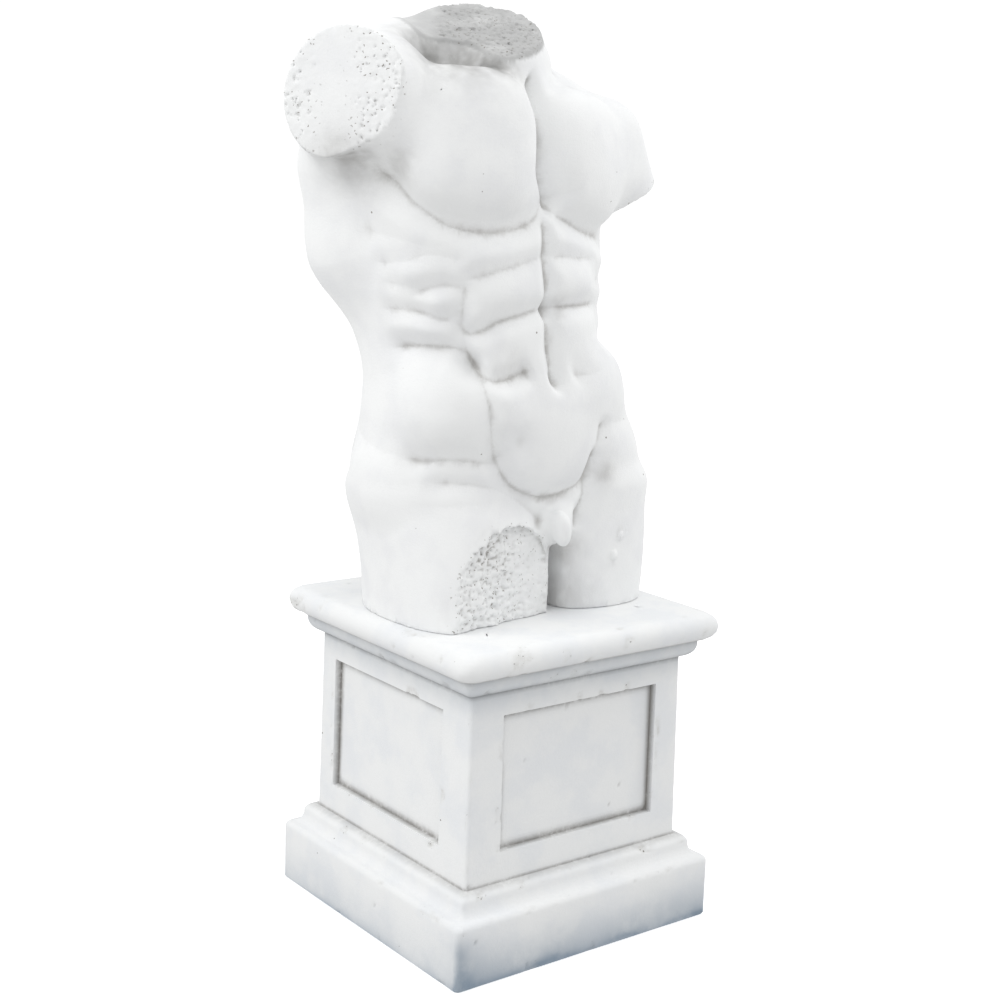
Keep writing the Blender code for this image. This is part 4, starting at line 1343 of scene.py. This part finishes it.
    def _wear_and_shade(self, mesh: bpy.types.Mesh) -> None:
        """Chip the edges, sink small bubbles, and mark where dirt and painted shade lie."""
        points = points_of(mesh)
        scaled = points / MILLIMETRE
        normals = normals_of(mesh)
        ridge = -hollowness(mesh, 12) / MILLIMETRE
        patch = smooth_step(mottle(scaled, 14, 41) + 0.5 * mottle(scaled, 6, 42), 0.35, 1.1)
        chipped = smooth_step(ridge, 0.12, 0.5) * patch * 1.6
        waves = 0.12 * (1.0 + mottle(scaled, 40, 43))
        bubble = np.clip(1.0 - pits(scaled, 30.0, 1.9, 0.8, 44), 0.0, 1.6)
        bubble[np.abs(pits(scaled, 30.0, 1.9, 0.8, 44)) > 2.0] = 0.0
        depth = (chipped + waves + bubble) * MILLIMETRE
        low = points[:, 2] < 0.0015
        depth[low] = 0.0
        mesh.vertices.foreach_set("co", (points - normals * depth[:, None]).ravel())
        mesh.update()
        foot = np.empty(len(points), np.float32)
        mesh.attributes["panel_foot"].data.foreach_get("value", foot)
        mesh.attributes.remove(mesh.attributes["panel_foot"])
        fine = hollowness(mesh, 5) / MILLIMETRE
        die_foot = self.base_height + self.step_height
        die_head = die_foot + self.die_height
        # Dark lines at the die's foot, under the bed moulding, under the cap and round the panels' edges:
        # painted shadow with some dirt.
        seam = np.exp(-(((points[:, 2] - die_foot) / 0.0022) ** 2))
        head = np.exp(-(((points[:, 2] - die_head) / 0.0035) ** 2))
        panel_foot = die_foot + self.panel_rise
        sill = 1.0 - smooth_step(points[:, 2], panel_foot, panel_foot + 0.004)
        bed = np.exp(-(((points[:, 2] - die_head - self.bed_height) / 0.0025) ** 2))
        hollow = 0.35 * smooth_step(fine, 0.2, 1.0) + foot * (0.95 - 0.45 * sill)
        hollow += 0.34 * seam + 0.6 * head + 0.7 * bed
        # Painted shade on the die just under the cap's overhang.
        under_cap = smooth_step(points[:, 2], die_head - 0.026, die_head)
        under_cap[points[:, 2] >= die_head + self.bed_height] = 0.0
        # Painted shade, darker and bluer towards the bottom of the base and on the faces turned to the front.
        level = points[:, 2] + 0.004 * mottle(scaled, 40, 45)
        low = 0.65 * (1.0 - smooth_step(level, 0.002, 0.9 * self.base_height))
        low += 1.1 * np.exp(-level / 0.005)
        facing = 0.6 * np.maximum(-normals[:, 1], 0.0) + 0.4
        # The painted shade is darkest at the base's front right corner.
        corner = np.hypot(points[:, 0] + self.base_side / 2, points[:, 1] + self.base_side / 2)
        below = 1.0 - smooth_step(points[:, 2], 0.6 * self.base_height, self.base_height)
        low += 0.8 * np.exp(-corner / 0.018) * below
        keep_attribute(mesh, "broken", np.clip(chipped, 0.0, 1.0))
        keep_attribute(mesh, "hollow", np.clip(hollow, 0.0, 1.0))
        keep_attribute(mesh, "damp_and_shade", np.clip(0.85 * low * facing + 0.22 * under_cap, 0.0, 1.0))


# The studio.


@dataclass(frozen=True)
class Studio:
    """A plain white floor, soft lights and the camera, set as the photograph was taken."""

    camera_place: Triple = (-0.95812, -1.24235, 0.70816)
    yaw: float = 37.494
    pitch: float = 11.150
    roll: float = 1.955
    # Focal length in pixels of the 1000 pixel frame.
    focal_pixels: float = 1688.8
    frame_pixels: float = 1000.0
    sensor: float = 36.0
    floor_side: float = 24.0
    # The surroundings' light on the object, and as the camera sees them.
    sky_light: float = 0.74
    sky_seen: float = 1.05

    def build(self) -> None:
        """Make the camera, the floor, the lights and the surroundings."""
        self._camera()
        self._floor()
        self._surroundings()
        # Azimuths count from straight in front, towards the figure's left.
        self._light("left", -104, 36, 2.6, 1.8, 24.0)
        self._light("right", 74, 36, 2.6, 1.8, 22.0)
        self._light("front", -34, 48, 3.0, 2.0, 13.0)

    def _camera(self) -> None:
        """Place the camera by its yaw, pitch and roll."""
        yaw, pitch, roll = (math.radians(angle) for angle in (self.yaw, self.pitch, self.roll))
        ahead = Vector((math.sin(yaw) * math.cos(pitch), math.cos(yaw) * math.cos(pitch), -math.sin(pitch)))
        level = Vector((math.cos(yaw), -math.sin(yaw), 0.0))
        up = level.cross(ahead)
        across = level * math.cos(roll) + up * math.sin(roll)
        upward = up * math.cos(roll) - level * math.sin(roll)
        lens = bpy.data.cameras.new("camera")
        lens.sensor_width = self.sensor
        lens.lens = self.focal_pixels / self.frame_pixels * self.sensor
        camera = bpy.data.objects.new("camera", lens)
        turn = Matrix((across, upward, -ahead)).transposed().to_4x4()
        camera.matrix_world = Matrix.Translation(self.camera_place) @ turn
        bpy.context.scene.collection.objects.link(camera)
        bpy.context.scene.camera = camera

    def _floor(self) -> None:
        """Lay the floor: white paper, matt and pale enough to vanish into the background."""
        half = self.floor_side / 2
        mesh = bpy.data.meshes.new("floor")
        corners = [(-half, -half, 0), (half, -half, 0), (half, half, 0), (-half, half, 0)]
        mesh.from_pydata(corners, [], [(0, 1, 2, 3)])
        material = bpy.data.materials.new("white_backdrop_paper")
        material.use_nodes = True
        shader = material.node_tree.nodes["Principled BSDF"]
        shader.inputs["Base Color"].default_value = linear("#FAFAFA")
        shader.inputs["Roughness"].default_value = 1.0
        shader.inputs["Specular IOR Level"].default_value = 0.0
        shader.inputs["Emission Color"].default_value = linear("#FFFFFF")
        shader.inputs["Emission Strength"].default_value = 0.45
        mesh.materials.append(material)
        floor = bpy.data.objects.new("floor", mesh)
        bpy.context.scene.collection.objects.link(floor)
        floor.visible_diffuse = False

    def _surroundings(self) -> None:
        """Surround the scene with soft white light, brighter where the camera sees it."""
        world = bpy.data.worlds.new("surroundings")
        world.use_nodes = True
        tree = world.node_tree
        seen = add_node(tree, "ShaderNodeLightPath").outputs["Is Camera Ray"]
        strength = {"Value": seen, "To Min": self.sky_light, "To Max": self.sky_seen}
        strength = add_node(tree, "ShaderNodeMapRange", strength)
        background = tree.nodes["Background"]
        background.inputs["Color"].default_value = linear("#FFFFFF")
        tree.links.new(strength.outputs["Result"], background.inputs["Strength"])
        bpy.context.scene.world = world
        bpy.context.scene.view_settings.view_transform = "Standard"

    def _light(
        self, name: str, azimuth: float, height: float, away: float, side: float, power: float
    ) -> None:
        """Hang a square soft light, aimed at the middle of the object.

        Args:
            name: Its name.
            azimuth: Degrees from straight in front, towards the figure's left.
            height: Degrees above level.
            away: Distance in metres.
            side: Its side in metres.
            power: Its power in watts.
        """
        middle = Vector((0.0, 0.0, 0.5))
        a, e = math.radians(azimuth), math.radians(height)
        offset = Vector((math.sin(a) * math.cos(e), -math.cos(a) * math.cos(e), math.sin(e))) * away
        lamp = bpy.data.lights.new(name, "AREA")
        lamp.energy = power
        lamp.size = side
        light = bpy.data.objects.new(name, lamp)
        light.location = middle + offset
        light.rotation_euler = (-offset).to_track_quat("-Z", "Y").to_euler()
        bpy.context.scene.collection.objects.link(light)


def main() -> None:
    """Build the studio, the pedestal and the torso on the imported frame."""
    logging.basicConfig(level=logging.INFO)
    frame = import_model()
    LOG.info("frame: %d nodes", len(frame["nodes"]))
    Studio().build()
    Pedestal().build()
    Torso().build()


if __name__ == "__main__":
    main()
